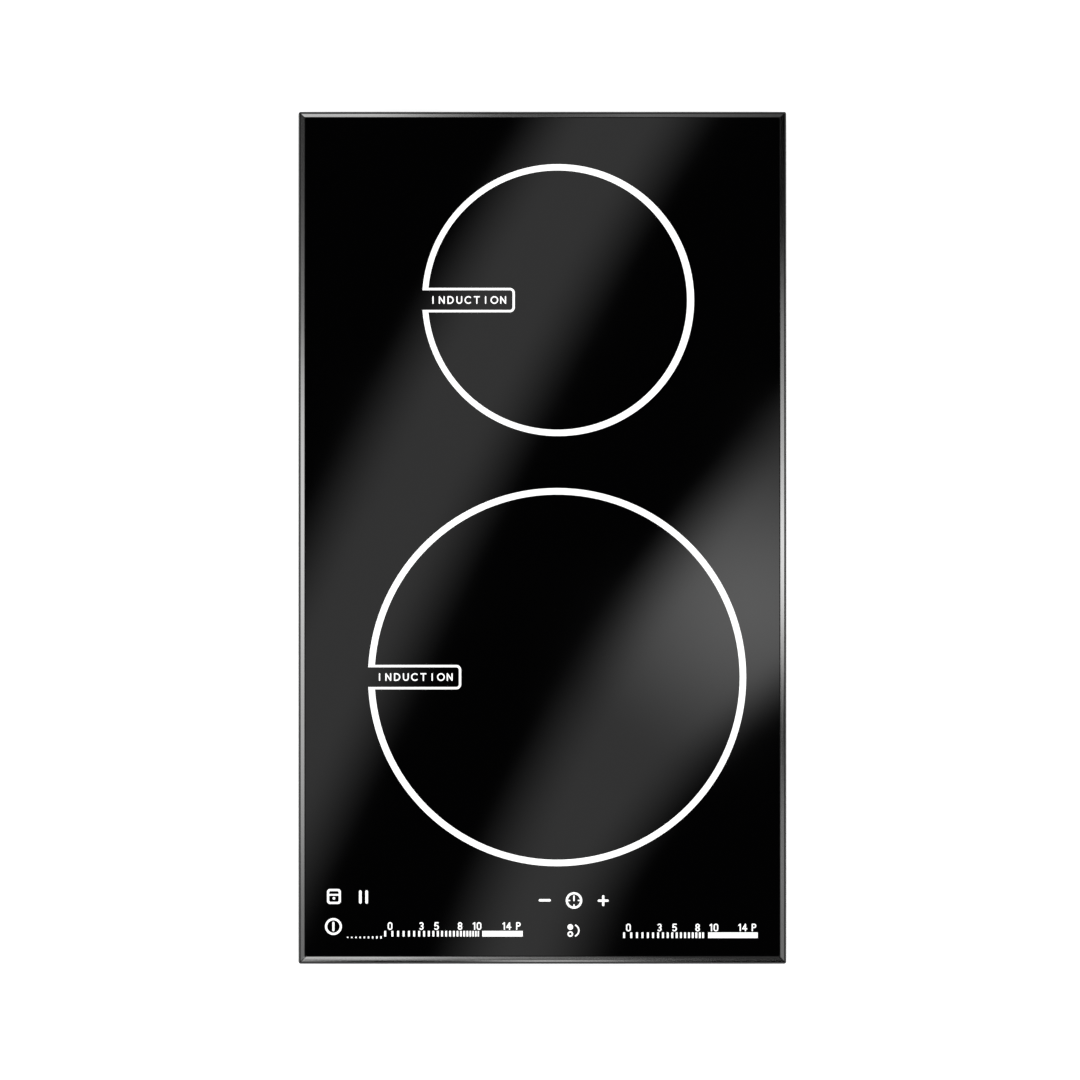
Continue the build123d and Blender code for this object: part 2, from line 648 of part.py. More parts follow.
def coil_carrier(label, zone, radius, arms, leads, springs):
    """Moulded wheel under one winding: hub, rim and arms with ferrite seats."""
    with BuildPart() as carrier:
        with BuildSketch(Plane.XY.offset(CARRIER_BOTTOM)):
            with Locations(zone):
                Circle(radius)
                Circle(radius - 7, mode=Mode.SUBTRACT)
                Circle(radius * 0.62)
                Circle(radius * 0.62 - 6, mode=Mode.SUBTRACT)
                Circle(16)
                with PolarLocations(radius / 2 + 4, arms):
                    Rectangle(radius - 12, 11)
                Circle(8.5, mode=Mode.SUBTRACT)
            with Locations(*leads):
                Circle(3, mode=Mode.SUBTRACT)
        extrude(amount=CARRIER_TOP - CARRIER_BOTTOM)
        with BuildSketch(Plane.XY.offset(CARRIER_TOP)):
            with Locations(zone):
                Circle(radius)
                Circle(radius - 1.6, mode=Mode.SUBTRACT)
                Circle(12)
                Circle(8.5, mode=Mode.SUBTRACT)
        extrude(amount=2.4)
    carrier.part.label = label
    export_step(carrier.part, f"parts/{label}.step")


def coil_winding(label, zone, radius):
    """Flat spiral of twisted wire, taken as touching eight-sided turns."""
    inner = 15.0
    wire = (WINDING_TOP - WINDING_BOTTOM) / 2
    turns = int((radius - 3.2 - inner) / (2 * wire * 0.93))
    pitch = (radius - 3.2 - inner - 2 * wire) / (turns - 1)
    with BuildPart() as winding:
        with BuildSketch(Plane.XZ):
            for turn in range(turns):
                with Locations((inner + wire + turn * pitch, WINDING_BOTTOM + wire)):
                    RegularPolygon(wire, 8, major_radius=False, rotation=22.5)
            with Locations(((inner + radius - 3.2) / 2, WINDING_BOTTOM + wire)):
                Rectangle(radius - 3.2 - inner - 2 * wire, wire)
        revolve(axis=Axis.Z)
    placed = winding.part.moved(Location((zone[0], zone[1], 0)))
    placed.label = label
    export_step(placed, f"parts/{label}.step")


def coil_ferrites(label, zone, radius, arms):
    """Radial ferrite bars below the carrier."""
    length = radius * 0.6
    with BuildPart() as ferrites:
        with BuildSketch(Plane.XY.offset(FERRITE_BOTTOM)):
            with Locations(zone):
                with PolarLocations(radius * 0.56, arms):
                    Rectangle(length, 9)
        extrude(amount=FERRITE_TOP - FERRITE_BOTTOM)
    ferrites.part.label = label
    export_step(ferrites.part, f"parts/{label}.step")


def coil_shield(label, zone, radius, leads, springs):
    """Slotted aluminium disc under the ferrites, with dimples over the springs."""
    with BuildPart() as shield:
        with BuildSketch(Plane.XY.offset(SHIELD_BOTTOM)):
            with Locations(zone):
                Circle(radius - 1)
                Circle(10, mode=Mode.SUBTRACT)
                with PolarLocations(radius * 0.82, 8, start_angle=8):
                    SlotOverall(radius * 0.18, 3, mode=Mode.SUBTRACT)
            with Locations(*leads):
                Circle(3.5, mode=Mode.SUBTRACT)
        extrude(amount=SHIELD_TOP - SHIELD_BOTTOM)
    shield.part.label = label
    export_step(shield.part, f"parts/{label}.step")


def coil_mica(label, zone, radius):
    """Mica sheet between the winding and the glass."""
    with BuildPart() as mica:
        with BuildSketch(Plane.XY.offset(MICA_BOTTOM)):
            with Locations(zone):
                Circle(radius - 0.5)
                Circle(7.5, mode=Mode.SUBTRACT)
        extrude(amount=MICA_TOP - MICA_BOTTOM)
    mica.part.label = label
    export_step(mica.part, f"parts/{label}.step")


def coil_sensor(label, zone):
    """Temperature sensor in the hub, held up to the glass."""
    with BuildPart() as sensor:
        with BuildSketch(Plane.XY.offset(CARRIER_BOTTOM - 2)):
            with Locations(zone):
                Circle(8)
        extrude(amount=3)
        with BuildSketch(Plane.XY.offset(CARRIER_BOTTOM + 1)):
            with Locations(zone):
                Circle(5.5)
        extrude(amount=MICA_TOP - CARRIER_BOTTOM - 1)
        with BuildSketch(Plane.XY.offset(MICA_TOP)):
            with Locations(zone):
                Circle(3.4)
        extrude(amount=SENSOR_TOP - MICA_TOP)
    sensor.part.label = label
    export_step(sensor.part, f"parts/{label}.step")


def coil_springs(label, spots):
    """Compression springs between the deck and the shield."""
    wire = 0.5
    height = SHIELD_BOTTOM - DECK_TOP
    with BuildPart() as spring:
        with BuildLine() as path:
            Helix(pitch=(height - 2 * wire) / 4, height=height - 2 * wire, radius=4)
        with BuildSketch(Plane(origin=path.line @ 0, z_dir=path.line % 0)):
            Circle(wire)
        sweep(is_frenet=True)
    base = DECK_TOP + wire
    springs = Compound([spring.part.moved(Location((x, y, base))) for x, y in spots])
    springs.label = label
    export_step(springs, f"parts/{label}.step")


def coil_leads(label, spots):
    """Sleeved supply wires from the board terminals up to the winding."""
    with BuildPart() as leads:
        with BuildSketch(Plane.XY.offset(BOARD_TOP)):
            with Locations(*spots):
                Rectangle(7, 7)
        extrude(amount=7)
        with BuildSketch(Plane.XY.offset(BOARD_TOP + 7)):
            with Locations(*spots):
                Circle(1.6)
        extrude(amount=WINDING_BOTTOM - 0.2 - BOARD_TOP - 7)
    leads.part.label = label
    export_step(leads.part, f"parts/{label}.step")


# Both coils, from the same pieces at two sizes
coils = (
    ("front", FRONT_ZONE, FRONT_COIL_RADIUS, 8, front_lead_spots, front_spring_spots),
    ("rear", REAR_ZONE, REAR_COIL_RADIUS, 6, rear_lead_spots, rear_spring_spots),
)
for place, zone, radius, arms, leads, springs in coils:
    coil_carrier(f"coil_carrier_{place}", zone, radius, arms, leads, springs)
    coil_winding(f"coil_winding_{place}", zone, radius)
    coil_ferrites(f"coil_ferrites_{place}", zone, radius, arms)
    coil_shield(f"coil_shield_{place}", zone, radius, leads, springs)
    coil_mica(f"coil_mica_{place}", zone, radius)
    coil_sensor(f"coil_sensor_{place}", zone)
    coil_springs(f"coil_springs_{place}", springs)
    coil_leads(f"coil_leads_{place}", leads)


# Moulded board carrier with standoffs
board_size = (BOARD_RIGHT - BOARD_LEFT, BOARD_REAR - BOARD_FRONT)
board_middle = ((BOARD_LEFT + BOARD_RIGHT) / 2, (BOARD_FRONT + BOARD_REAR) / 2)
with BuildPart() as board_carrier:
    with BuildSketch(Plane.XY.offset(TRAY_FLOOR + 0.1)):
        with Locations(board_middle):
            RectangleRounded(board_size[0], board_size[1], 3)
            with GridLocations(36, 44, 3, 6):
                RectangleRounded(24, 32, 2, mode=Mode.SUBTRACT)
    extrude(amount=1.4)
    with BuildSketch(Plane.XY.offset(TRAY_FLOOR + 1.5)):
        with Locations(board_middle):
            with GridLocations(board_size[0] - 12, (board_size[1] - 12) / 2, 2, 3):
                Circle(4)
                Circle(1.3, mode=Mode.SUBTRACT)
    extrude(amount=BOARD_BOTTOM - TRAY_FLOOR - 1.5)
board_carrier.part.label = "board_carrier"
export_step(board_carrier.part, "parts/board_carrier.step")


# Power board with its screws' holes
with BuildPart() as power_board:
    with BuildSketch(Plane.XY.offset(BOARD_BOTTOM)):
        with Locations(board_middle):
            RectangleRounded(board_size[0], board_size[1], 2)
            with GridLocations(board_size[0] - 12, (board_size[1] - 12) / 2, 2, 3):
                Circle(1.6, mode=Mode.SUBTRACT)
            SlotOverall(60, 2.4, rotation=90, mode=Mode.SUBTRACT)
    extrude(amount=BOARD_TOP - BOARD_BOTTOM)
power_board.part.label = "power_board"
export_step(power_board.part, "parts/power_board.step")


# Screws that hold the power board
with BuildPart() as board_screws:
    with BuildSketch(Plane.XY.offset(BOARD_BOTTOM - 3)):
        with Locations(board_middle):
            with GridLocations(board_size[0] - 12, (board_size[1] - 12) / 2, 2, 3):
                Circle(1.25)
    extrude(amount=BOARD_TOP - BOARD_BOTTOM + 3)
    with BuildSketch(Plane.XY.offset(BOARD_TOP)):
        with Locations(board_middle):
            with GridLocations(board_size[0] - 12, (board_size[1] - 12) / 2, 2, 3):
                Circle(2.8)
                Rectangle(3.6, 0.7, mode=Mode.SUBTRACT)
                Rectangle(0.7, 3.6, mode=Mode.SUBTRACT)
    extrude(amount=1.8)
board_screws.part.label = "board_screws"
export_step(board_screws.part, "parts/board_screws.step")


# Finned heat sink in the fan's air stream
sink_left = 12.0
sink_width = 92.0
sink_front = -4.0
sink_length = 112.0
sink_ledge = 24.0
with BuildPart() as heat_sink:
    with BuildSketch(Plane.XZ.offset(-sink_front)):
        with Locations((sink_left + sink_width / 2, TRAY_FLOOR + 2.4)):
            Rectangle(sink_width, 4)
        fin_count = 12
        fin_pitch = (sink_width - sink_ledge - 2) / (fin_count - 1)
        for fin in range(fin_count):
            with Locations((sink_left + sink_ledge + 1 + fin * fin_pitch, TRAY_FLOOR + 10.4)):
                Rectangle(1.5, 14)
    extrude(amount=-sink_length)
heat_sink.part.label = "heat_sink"
export_step(heat_sink.part, "parts/heat_sink.step")


# Power transistors screwed flat on the heat sink's ledge, legs towards the board
transistor_floor = TRAY_FLOOR + 4.4
with BuildPart() as power_transistors:
    with BuildSketch(Plane.XY.offset(transistor_floor)):
        with Locations((sink_left + 13, sink_front + sink_length / 2)):
            with GridLocations(0, 22, 1, 4):
                RectangleRounded(18, 15.5, 0.8)
                with Locations((4, 0)):
                    Circle(1.8, mode=Mode.SUBTRACT)
    extrude(amount=4.8)
    with BuildSketch(Plane.XY.offset(transistor_floor + 3.9)):
        with Locations((sink_left + 0.5, sink_front + sink_length / 2)):
            with GridLocations(0, 22, 1, 4):
                with GridLocations(0, 5.4, 1, 3):
                    Rectangle(10, 1.2)
    extrude(amount=0.6)
power_transistors.part.label = "power_transistors"
export_step(power_transistors.part, "parts/power_transistors.step")


# Film capacitors on the board
capacitor_spots = [(x, y) for x in (-98, -62, -26) for y in (8, -16)]
with BuildPart() as film_capacitors:
    with BuildSketch(Plane.XY.offset(BOARD_TOP)):
        with Locations(*capacitor_spots):
            RectangleRounded(30, 16, 1)
    extrude(amount=15)
    fillet(film_capacitors.edges().group_by(Axis.Z)[-1], radius=0.8)
film_capacitors.part.label = "film_capacitors"
export_step(film_capacitors.part, "parts/film_capacitors.step")


# Mains filter choke: a wound ring lying on the board
choke_center = (-88.0, 58.0)
with BuildPart() as filter_choke:
    with BuildSketch(Plane.XY.offset(BOARD_TOP)):
        with Locations(choke_center):
            Circle(16)
    extrude(amount=1.2)
    with BuildSketch(Plane.XY.offset(BOARD_TOP + 1.2)):
        with Locations(choke_center):
            Circle(17)
            Circle(8.5, mode=Mode.SUBTRACT)
    extrude(amount=11)
    fillet(filter_choke.edges().group_by(Axis.Z)[-1], radius=1.5)
    with BuildSketch(Plane.XY.offset(BOARD_TOP + 1.2)):
        with Locations(choke_center):
            for middle in (0, 180):
                with PolarLocations(12.75, 8, start_angle=middle - 60, angular_range=120):
                    Rectangle(11, 2.2)
    extrude(amount=12)
filter_choke.part.label = "filter_choke"
export_step(filter_choke.part, "parts/filter_choke.step")


# Scroll housing of the cooling fan, open below and towards the heat sink
outlet_half = 20.0
outlet_middle = (FAN_CENTER[0] + FAN_SCROLL_RADIUS - outlet_half, FAN_CENTER[1] - 26)
with BuildPart() as fan_housing:
    with BuildSketch(Plane.XY.offset(FAN_HOUSING_BOTTOM)):
        with Locations(FAN_CENTER):
            Circle(FAN_SCROLL_RADIUS)
        with Locations(outlet_middle):
            Rectangle(2 * outlet_half, 52)
    extrude(amount=FAN_HOUSING_TOP - FAN_HOUSING_BOTTOM)
    with BuildSketch(Plane.XY.offset(FAN_HOUSING_BOTTOM + 1)):
        with Locations(FAN_CENTER):
            Circle(FAN_SCROLL_RADIUS - FAN_WALL)
        with Locations((outlet_middle[0], outlet_middle[1] - 2)):
            Rectangle(2 * (outlet_half - FAN_WALL), 56)
    extrude(amount=FAN_HOUSING_TOP - FAN_HOUSING_BOTTOM - 1 - FAN_WALL, mode=Mode.SUBTRACT)
    with BuildSketch(Plane.XY.offset(FAN_HOUSING_BOTTOM)):
        with Locations(FAN_CENTER):
            Circle(FAN_INTAKE_RADIUS - 3)
    extrude(amount=1, mode=Mode.SUBTRACT)
fan_housing.part.label = "fan_housing"
export_step(fan_housing.part, "parts/fan_housing.step")


# Fan motor hanging from the housing, with its shaft
motor_bottom = IMPELLER_BACKPLATE + 2.3
with BuildPart() as fan_motor:
    with BuildSketch(Plane.XY.offset(motor_bottom)):
        with Locations(FAN_CENTER):
            Circle(14)
    extrude(amount=FAN_HOUSING_TOP - FAN_WALL - motor_bottom)
    chamfer(fan_motor.edges().group_by(Axis.Z)[0], 1)
    with BuildSketch(Plane.XY.offset(IMPELLER_BACKPLATE - 7)):
        with Locations(FAN_CENTER):
            Circle(FAN_SHAFT_RADIUS)
    extrude(amount=motor_bottom - IMPELLER_BACKPLATE + 7)
fan_motor.part.label = "fan_motor"
export_step(fan_motor.part, "parts/fan_motor.step")


# Fan impeller: back plate, boss, forward-curved blades and a tie ring
with BuildPart() as fan_impeller:
    with BuildSketch(Plane.XY.offset(IMPELLER_BACKPLATE)):
        with Locations(FAN_CENTER):
            Circle(IMPELLER_RADIUS)
    extrude(amount=1.2)
    with BuildSketch(Plane.XY.offset(IMPELLER_BACKPLATE - 6.6)):
        with Locations(FAN_CENTER):
            Circle(5)
    extrude(amount=8.3)
    with BuildSketch(Plane.XY.offset(IMPELLER_BOTTOM)):
        with Locations(FAN_CENTER):
            with PolarLocations(IMPELLER_RADIUS - 4.6, 26):
                SlotArc(CenterArc((0, -6), 6, 50, 80), 1.0)
    extrude(amount=IMPELLER_BACKPLATE - IMPELLER_BOTTOM)
    with BuildSketch(Plane.XY.offset(IMPELLER_BOTTOM - 0.5)):
        with Locations(FAN_CENTER):
            Circle(IMPELLER_RADIUS)
            Circle(IMPELLER_RADIUS - 2.2, mode=Mode.SUBTRACT)
    extrude(amount=1.4)
    with BuildSketch(Plane.XY.offset(IMPELLER_BACKPLATE - 6.6)):
        with Locations(FAN_CENTER):
            Circle(FAN_SHAFT_RADIUS + RUNNING_GAP)
    extrude(amount=8.3, mode=Mode.SUBTRACT)
fan_impeller.part.label = "fan_impeller"
export_step(fan_impeller.part, "parts/fan_impeller.step")


# Terminal box behind the doorway, with the fixed hinge knuckles outside the wall
terminal_middle_x = (TERMINAL_LEFT + TERMINAL_RIGHT) / 2
terminal_rear = TRAY_HALF_Y - SHEET - 0.1
terminal_depth = terminal_rear - TERMINAL_FRONT
knuckle_bottoms = (-42.6, -25.4)
knuckle_length = 4.0
with BuildPart() as terminal_box:
    with BuildSketch(Plane.XY.offset(TERMINAL_BOTTOM)):
        with Locations((terminal_middle_x, TERMINAL_FRONT + terminal_depth / 2)):
            Rectangle(TERMINAL_RIGHT - TERMINAL_LEFT, terminal_depth)
    extrude(amount=TERMINAL_TOP - TERMINAL_BOTTOM)
    with BuildSketch(Plane.XY.offset(TERMINAL_BOTTOM + TERMINAL_WALL)):
        with Locations((terminal_middle_x, TERMINAL_FRONT + terminal_depth / 2 + TERMINAL_WALL)):
            Rectangle(TERMINAL_RIGHT - TERMINAL_LEFT - 2 * TERMINAL_WALL, terminal_depth)
    extrude(amount=TERMINAL_TOP - TERMINAL_BOTTOM - 2 * TERMINAL_WALL, mode=Mode.SUBTRACT)
    with BuildSketch(Plane(origin=(TERMINAL_RIGHT, 0, 0), x_dir=(0, 1, 0), z_dir=(1, 0, 0))):
        with Locations((231, INLET_CENTER[1])):
            Circle(INLET_RADIUS)
    extrude(amount=-TERMINAL_WALL, mode=Mode.SUBTRACT)
    for bottom in knuckle_bottoms:
        with BuildSketch(Plane.XY.offset(bottom)):
            with Locations((LID_AXIS_X, LID_AXIS_Y)):
                Circle(LID_BARREL_RADIUS)
            with Locations(((LID_AXIS_X + TERMINAL_LEFT + TERMINAL_WALL) / 2, LID_AXIS_Y - 0.6)):
                Rectangle(TERMINAL_LEFT + TERMINAL_WALL - LID_AXIS_X, 2.0)
            with Locations((TERMINAL_LEFT + TERMINAL_WALL / 2, (LID_AXIS_Y + terminal_rear) / 2)):
                Rectangle(TERMINAL_WALL, LID_AXIS_Y - terminal_rear + 0.8)
        extrude(amount=knuckle_length)
        with BuildSketch(Plane.XY.offset(bottom)):
            with Locations((LID_AXIS_X, LID_AXIS_Y)):
                Circle(LID_PIN_RADIUS)
        extrude(amount=knuckle_length, mode=Mode.SUBTRACT)
terminal_box.part.label = "terminal_box"
export_step(terminal_box.part, "parts/terminal_box.step")


# Hinge pin of the terminal lid
pin_bottom = knuckle_bottoms[0]
pin_top = knuckle_bottoms[1] + knuckle_length
with BuildPart() as lid_hinge_pin:
    with BuildSketch(Plane.XY.offset(pin_bottom)):
        with Locations((LID_AXIS_X, LID_AXIS_Y)):
            Circle(LID_PIN_RADIUS)
    extrude(amount=pin_top - pin_bottom)
lid_hinge_pin.part.label = "lid_hinge_pin"
export_step(lid_hinge_pin.part, "parts/lid_hinge_pin.step")


# Terminal lid: ribbed plate, hinge barrel and snap hook
lid_left = TERMINAL_LEFT + TERMINAL_WALL + 0.4
lid_right = TERMINAL_RIGHT + 1.0
lid_bottom = TERMINAL_BOTTOM + 1.0
lid_top = TERMINAL_TOP - 1.0
lid_back = TRAY_HALF_Y + 0.4
barrel_bottom = knuckle_bottoms[0] + knuckle_length + PLAY
barrel_top = knuckle_bottoms[1] - PLAY
lid_plane = Plane(origin=(0, lid_back, 0), x_dir=(-1, 0, 0), z_dir=(0, 1, 0))
with BuildPart() as terminal_lid:
    with BuildSketch(lid_plane):
        with Locations((-(lid_left + lid_right) / 2, (lid_bottom + lid_top) / 2)):
            RectangleRounded(lid_right - lid_left, lid_top - lid_bottom, 1.5)
    extrude(amount=LID_THICK)
    with BuildSketch(lid_plane.offset(LID_THICK)):
        with Locations((-(lid_left + lid_right) / 2, (lid_bottom + lid_top) / 2)):
            RectangleRounded(lid_right - lid_left - 8, lid_top - lid_bottom - 8, 1.5)
    extrude(amount=-0.5, mode=Mode.SUBTRACT)
    with BuildSketch(Plane.XY.offset(barrel_bottom)):
        with Locations((LID_AXIS_X, LID_AXIS_Y)):
            Circle(LID_BARREL_RADIUS)
        with Locations(((LID_AXIS_X + lid_left + 1) / 2, lid_back + 0.8)):
            Rectangle(lid_left + 1 - LID_AXIS_X, 1.6)
    extrude(amount=barrel_top - barrel_bottom)
    with BuildSketch(Plane.XY.offset(barrel_bottom)):
        with Locations((LID_AXIS_X, LID_AXIS_Y)):
            Circle(LID_PIN_RADIUS + RUNNING_GAP)
    extrude(amount=barrel_top - barrel_bottom, mode=Mode.SUBTRACT)
    with BuildSketch(Plane.XY.offset(-36)):
        with BuildLine():
            Polyline(
                (-58.0, lid_back),
                (-56.8, lid_back),
                (-56.8, lid_back - 3.6),
                (-56.0, lid_back - 4.2),
                (-56.8, lid_back - 5.4),
                (-58.0, lid_back - 5.4),
                close=True,
            )
        make_face()
    extrude(amount=8)
terminal_lid.part.label = "terminal_lid"
export_step(terminal_lid.part, "parts/terminal_lid.step")


# Terminal block with a well for each screw
way_count = 5
way_pitch = 9.6
block_floor = TERMINAL_BOTTOM + TERMINAL_WALL
block_height = 15.0
block_middle = (terminal_middle_x, TERMINAL_FRONT + 15)
with BuildPart() as terminal_block:
    with BuildSketch(Plane.XY.offset(block_floor)):
        with Locations(block_middle):
            Rectangle(way_count * way_pitch, 20)
    extrude(amount=block_height)
    with BuildSketch(Plane.XY.offset(block_floor + block_height)):
        with Locations(block_middle):
            with GridLocations(way_pitch, 10, way_count, 2):
                Rectangle(7.6, 7.4)
    extrude(amount=-5, mode=Mode.SUBTRACT)
    with BuildSketch(Plane(origin=(0, block_middle[1] + 10, 0), x_dir=(-1, 0, 0), z_dir=(0, 1, 0))):
        with Locations((-block_middle[0], block_floor + 5.5)):
            with GridLocations(way_pitch, 1, way_count, 1):
                Circle(2.2)
    extrude(amount=-6, mode=Mode.SUBTRACT)
terminal_block.part.label = "terminal_block"
export_step(terminal_block.part, "parts/terminal_block.step")


# Clamping screws in the terminal block's wells
with BuildPart() as terminal_screws:
    with BuildSketch(Plane.XY.offset(block_floor + block_height - 5)):
        with Locations(block_middle):
            with GridLocations(way_pitch, 10, way_count, 2):
                Circle(2.9)
    extrude(amount=3)
    with BuildSketch(Plane.XY.offset(block_floor + block_height - 2)):
        with Locations(block_middle):
            with GridLocations(way_pitch, 10, way_count, 2):
                Rectangle(5, 0.8)
    extrude(amount=-1, mode=Mode.SUBTRACT)
terminal_screws.part.label = "terminal_screws"
export_step(terminal_screws.part, "parts/terminal_screws.step")


# Rubber grommet at the supply cable's inlet
inlet_plane = Plane(origin=(INLET_CENTER[0], TRAY_HALF_Y, INLET_CENTER[1]), x_dir=(-1, 0, 0), z_dir=(0, 1, 0))
with BuildPart() as cable_grommet:
    with BuildSketch(inlet_plane.offset(0.05)):
        Circle(INLET_RADIUS + 4)
    extrude(amount=1.9)
    chamfer(cable_grommet.edges().group_by(Axis.Y)[-1], 0.5)
    with BuildSketch(inlet_plane.offset(-SHEET - 1.6)):
        Circle(INLET_RADIUS + 1.9)
    extrude(amount=SHEET + 1.65)
    with BuildSketch(inlet_plane.offset(-SHEET - 0.05)):
        Circle(INLET_RADIUS + 3.4)
    extrude(amount=-1.55)
    with BuildSketch(inlet_plane.offset(-SHEET - 1.6)):
        Circle(INLET_RADIUS)
    extrude(amount=SHEET + 1.6 + 1.95, mode=Mode.SUBTRACT)
cable_grommet.part.label = "cable_grommet"
export_step(cable_grommet.part, "parts/cable_grommet.step")


# Earth screw beside the inlet
earth_plane = Plane(origin=(EARTH_X, TRAY_HALF_Y, INLET_CENTER[1]), x_dir=(-1, 0, 0), z_dir=(0, 1, 0))
with BuildPart() as earth_screw:
    with BuildSketch(earth_plane):
        Circle(4.4)
    extrude(amount=0.7)
    with BuildSketch(earth_plane.offset(0.7)):
        RegularPolygon(3.7, 6)
    extrude(amount=2.4)
    with BuildSketch(earth_plane):
        Circle(EARTH_RADIUS)
    extrude(amount=-9)
earth_screw.part.label = "earth_screw"
export_step(earth_screw.part, "parts/earth_screw.step")


# Moulded tray under the touch board, on four legs
touch_middle_y = (TOUCH_FRONT + TOUCH_REAR) / 2
touch_depth = TOUCH_REAR - TOUCH_FRONT
with BuildPart() as touch_board_carrier:
    with BuildSketch(Plane.XY.offset(TOUCH_BOTTOM - 1.8)):
        with Locations((0, touch_middle_y)):
            RectangleRounded(2 * TOUCH_HALF_X + 0.8, touch_depth + 0.8, 5)
            with GridLocations(40, 0, 6, 1):
                RectangleRounded(30, 26, 3, mode=Mode.SUBTRACT)
    extrude(amount=1.7)
    with BuildSketch(Plane.XY.offset(TRAY_FLOOR)):
        with Locations((0, touch_middle_y)):
            with GridLocations(232, 30, 2, 2):
                Circle(2.6)
    extrude(amount=TOUCH_BOTTOM - 1.8 - TRAY_FLOOR)
touch_board_carrier.part.label = "touch_board_carrier"
export_step(touch_board_carrier.part, "parts/touch_board_carrier.step")


# Touch board with its display windows and side connector
ribbon_x = -60.0
with BuildPart() as touch_board:
    with BuildSketch(Plane.XY.offset(TOUCH_BOTTOM)):
        with Locations((0, touch_middle_y)):
            RectangleRounded(2 * TOUCH_HALF_X, touch_depth, 5)
    extrude(amount=TOUCH_TOP - TOUCH_BOTTOM)
    with BuildSketch(Plane.XY.offset(TOUCH_TOP)):
        with Locations((-60, -212), (60, -212), (0, -207)):
            Rectangle(20, 9)
        with Locations((ribbon_x + 30, TOUCH_REAR - 3)):
            Rectangle(18, 5)
    extrude(amount=5)
touch_board.part.label = "touch_board"
export_step(touch_board.part, "parts/touch_board.step")


# Conductive foam pads between the touch board and the glass
touch_pad_spots = [(-116, -232), (-107, -216), (-92, -233), (-72, -233), (-48, -233), (-24, -233)]
touch_pad_spots += [(-1, -219), (19, -219), (19, -234), (37, -219), (54, -233), (76, -233), (98, -233), (117, -233)]
with BuildPart() as touch_sensor_pads:
    with BuildSketch(Plane.XY.offset(TOUCH_TOP)):
        with Locations(*touch_pad_spots):
            RectangleRounded(9, 7, 1.5)
    extrude(amount=GLASS_BOTTOM - TOUCH_TOP)
    chamfer(touch_sensor_pads.edges().group_by(Axis.Z)[0], 0.8)
touch_sensor_pads.part.label = "touch_sensor_pads"
export_step(touch_sensor_pads.part, "parts/touch_sensor_pads.step")


# Flat ribbon cable from the touch board down to the power board
with BuildPart() as ribbon_cable:
    with BuildSketch(Plane(origin=(ribbon_x + 22, 0, 0), x_dir=(0, 1, 0), z_dir=(1, 0, 0))):
        with BuildLine():
            FilletPolyline(
                (TOUCH_REAR - 0.5, TOUCH_TOP + 2.2),
                (TOUCH_REAR + 4.2, TOUCH_TOP + 2.2),
                (TOUCH_REAR + 4.2, BOARD_TOP + 5),
                (BOARD_FRONT + 4, BOARD_TOP + 5),
                radius=1.6,
            )
        trace(line_width=0.8)
    extrude(amount=16)
    with BuildSketch(Plane.XY.offset(BOARD_TOP)):
        with Locations((ribbon_x + 30, BOARD_FRONT + 6)):
            Rectangle(20, 5)
    extrude(amount=7)
ribbon_cable.part.label = "ribbon_cable"
export_step(ribbon_cable.part, "parts/ribbon_cable.step")


def clamp_arm(label, pivot):
    """A swivel arm stowed along the tray wall, its raised tip pressing up on the worktop."""
    toward_middle = -math.copysign(1, pivot[1])
    tip_middle = (pivot[0], pivot[1] + toward_middle * (CLAMP_REACH - CLAMP_TIP_THICK / 2))
    plate_middle = (pivot[0], pivot[1] + toward_middle * CLAMP_REACH / 2)
    with BuildPart() as arm:
        with BuildSketch(Plane.XY.offset(CLAMP_PLATE_BOTTOM)):
            with Locations(pivot):
                Circle(CLAMP_WIDTH / 2)
            with Locations(plate_middle):
                Rectangle(CLAMP_WIDTH, CLAMP_REACH)
        extrude(amount=CLAMP_PLATE_TOP - CLAMP_PLATE_BOTTOM)
        with BuildSketch(Plane.XY.offset(CLAMP_PLATE_TOP)):
            with Locations(tip_middle):
                Rectangle(CLAMP_WIDTH, CLAMP_TIP_THICK)
        extrude(amount=CLAMP_TIP_TOP - CLAMP_PLATE_TOP)
        with BuildSketch(Plane.XY.offset(CLAMP_PLATE_TOP)):
            with Locations((pivot[0], pivot[1] + toward_middle * (CLAMP_REACH + 4) / 2)):
                Rectangle(1.6, CLAMP_REACH - 8)
        extrude(amount=1.4)
        with BuildSketch(Plane.XY.offset(CLAMP_PLATE_BOTTOM)):
            with Locations(pivot):
                Circle(CLAMP_SCREW_RADIUS + RUNNING_GAP)
        extrude(amount=CLAMP_PLATE_TOP - CLAMP_PLATE_BOTTOM, mode=Mode.SUBTRACT)
    arm.part.label = label
    export_step(arm.part, f"parts/{label}.step")


# Four worktop clamps
for x, y in clamp_spots:
    end_name = "front" if y < 0 else "rear"
    side_name = "left" if x < 0 else "right"
    clamp_arm(f"clamp_arm_{end_name}_{side_name}", (x, y))


# Clamp screws from below, through the arms into the ears
screw_head_top = CLAMP_PLATE_BOTTOM - PLAY
with BuildPart() as clamp_screws:
    with BuildSketch(Plane.XY.offset(screw_head_top)):
        with Locations(*clamp_spots):
            Circle(CLAMP_SCREW_RADIUS)
    extrude(amount=EAR_COLLAR_TOP + 1.5 - screw_head_top)
    with BuildSketch(Plane.XY.offset(screw_head_top)):
        with Locations(*clamp_spots):
            Circle(3.4)
            Rectangle(4.2, 0.9, mode=Mode.SUBTRACT)
            Rectangle(0.9, 4.2, mode=Mode.SUBTRACT)
    extrude(amount=-2.6)
    with BuildSketch(Plane.XY.offset(screw_head_top)):
        with Locations(*clamp_spots):
            Circle(3.4)
    extrude(amount=-0.8)
    with BuildSketch(Plane.XY.offset(CLAMP_PLATE_TOP + PLAY)):
        with Locations(*clamp_spots):
            Circle(3.2)
    extrude(amount=0.6)
clamp_screws.part.label = "clamp_screws"
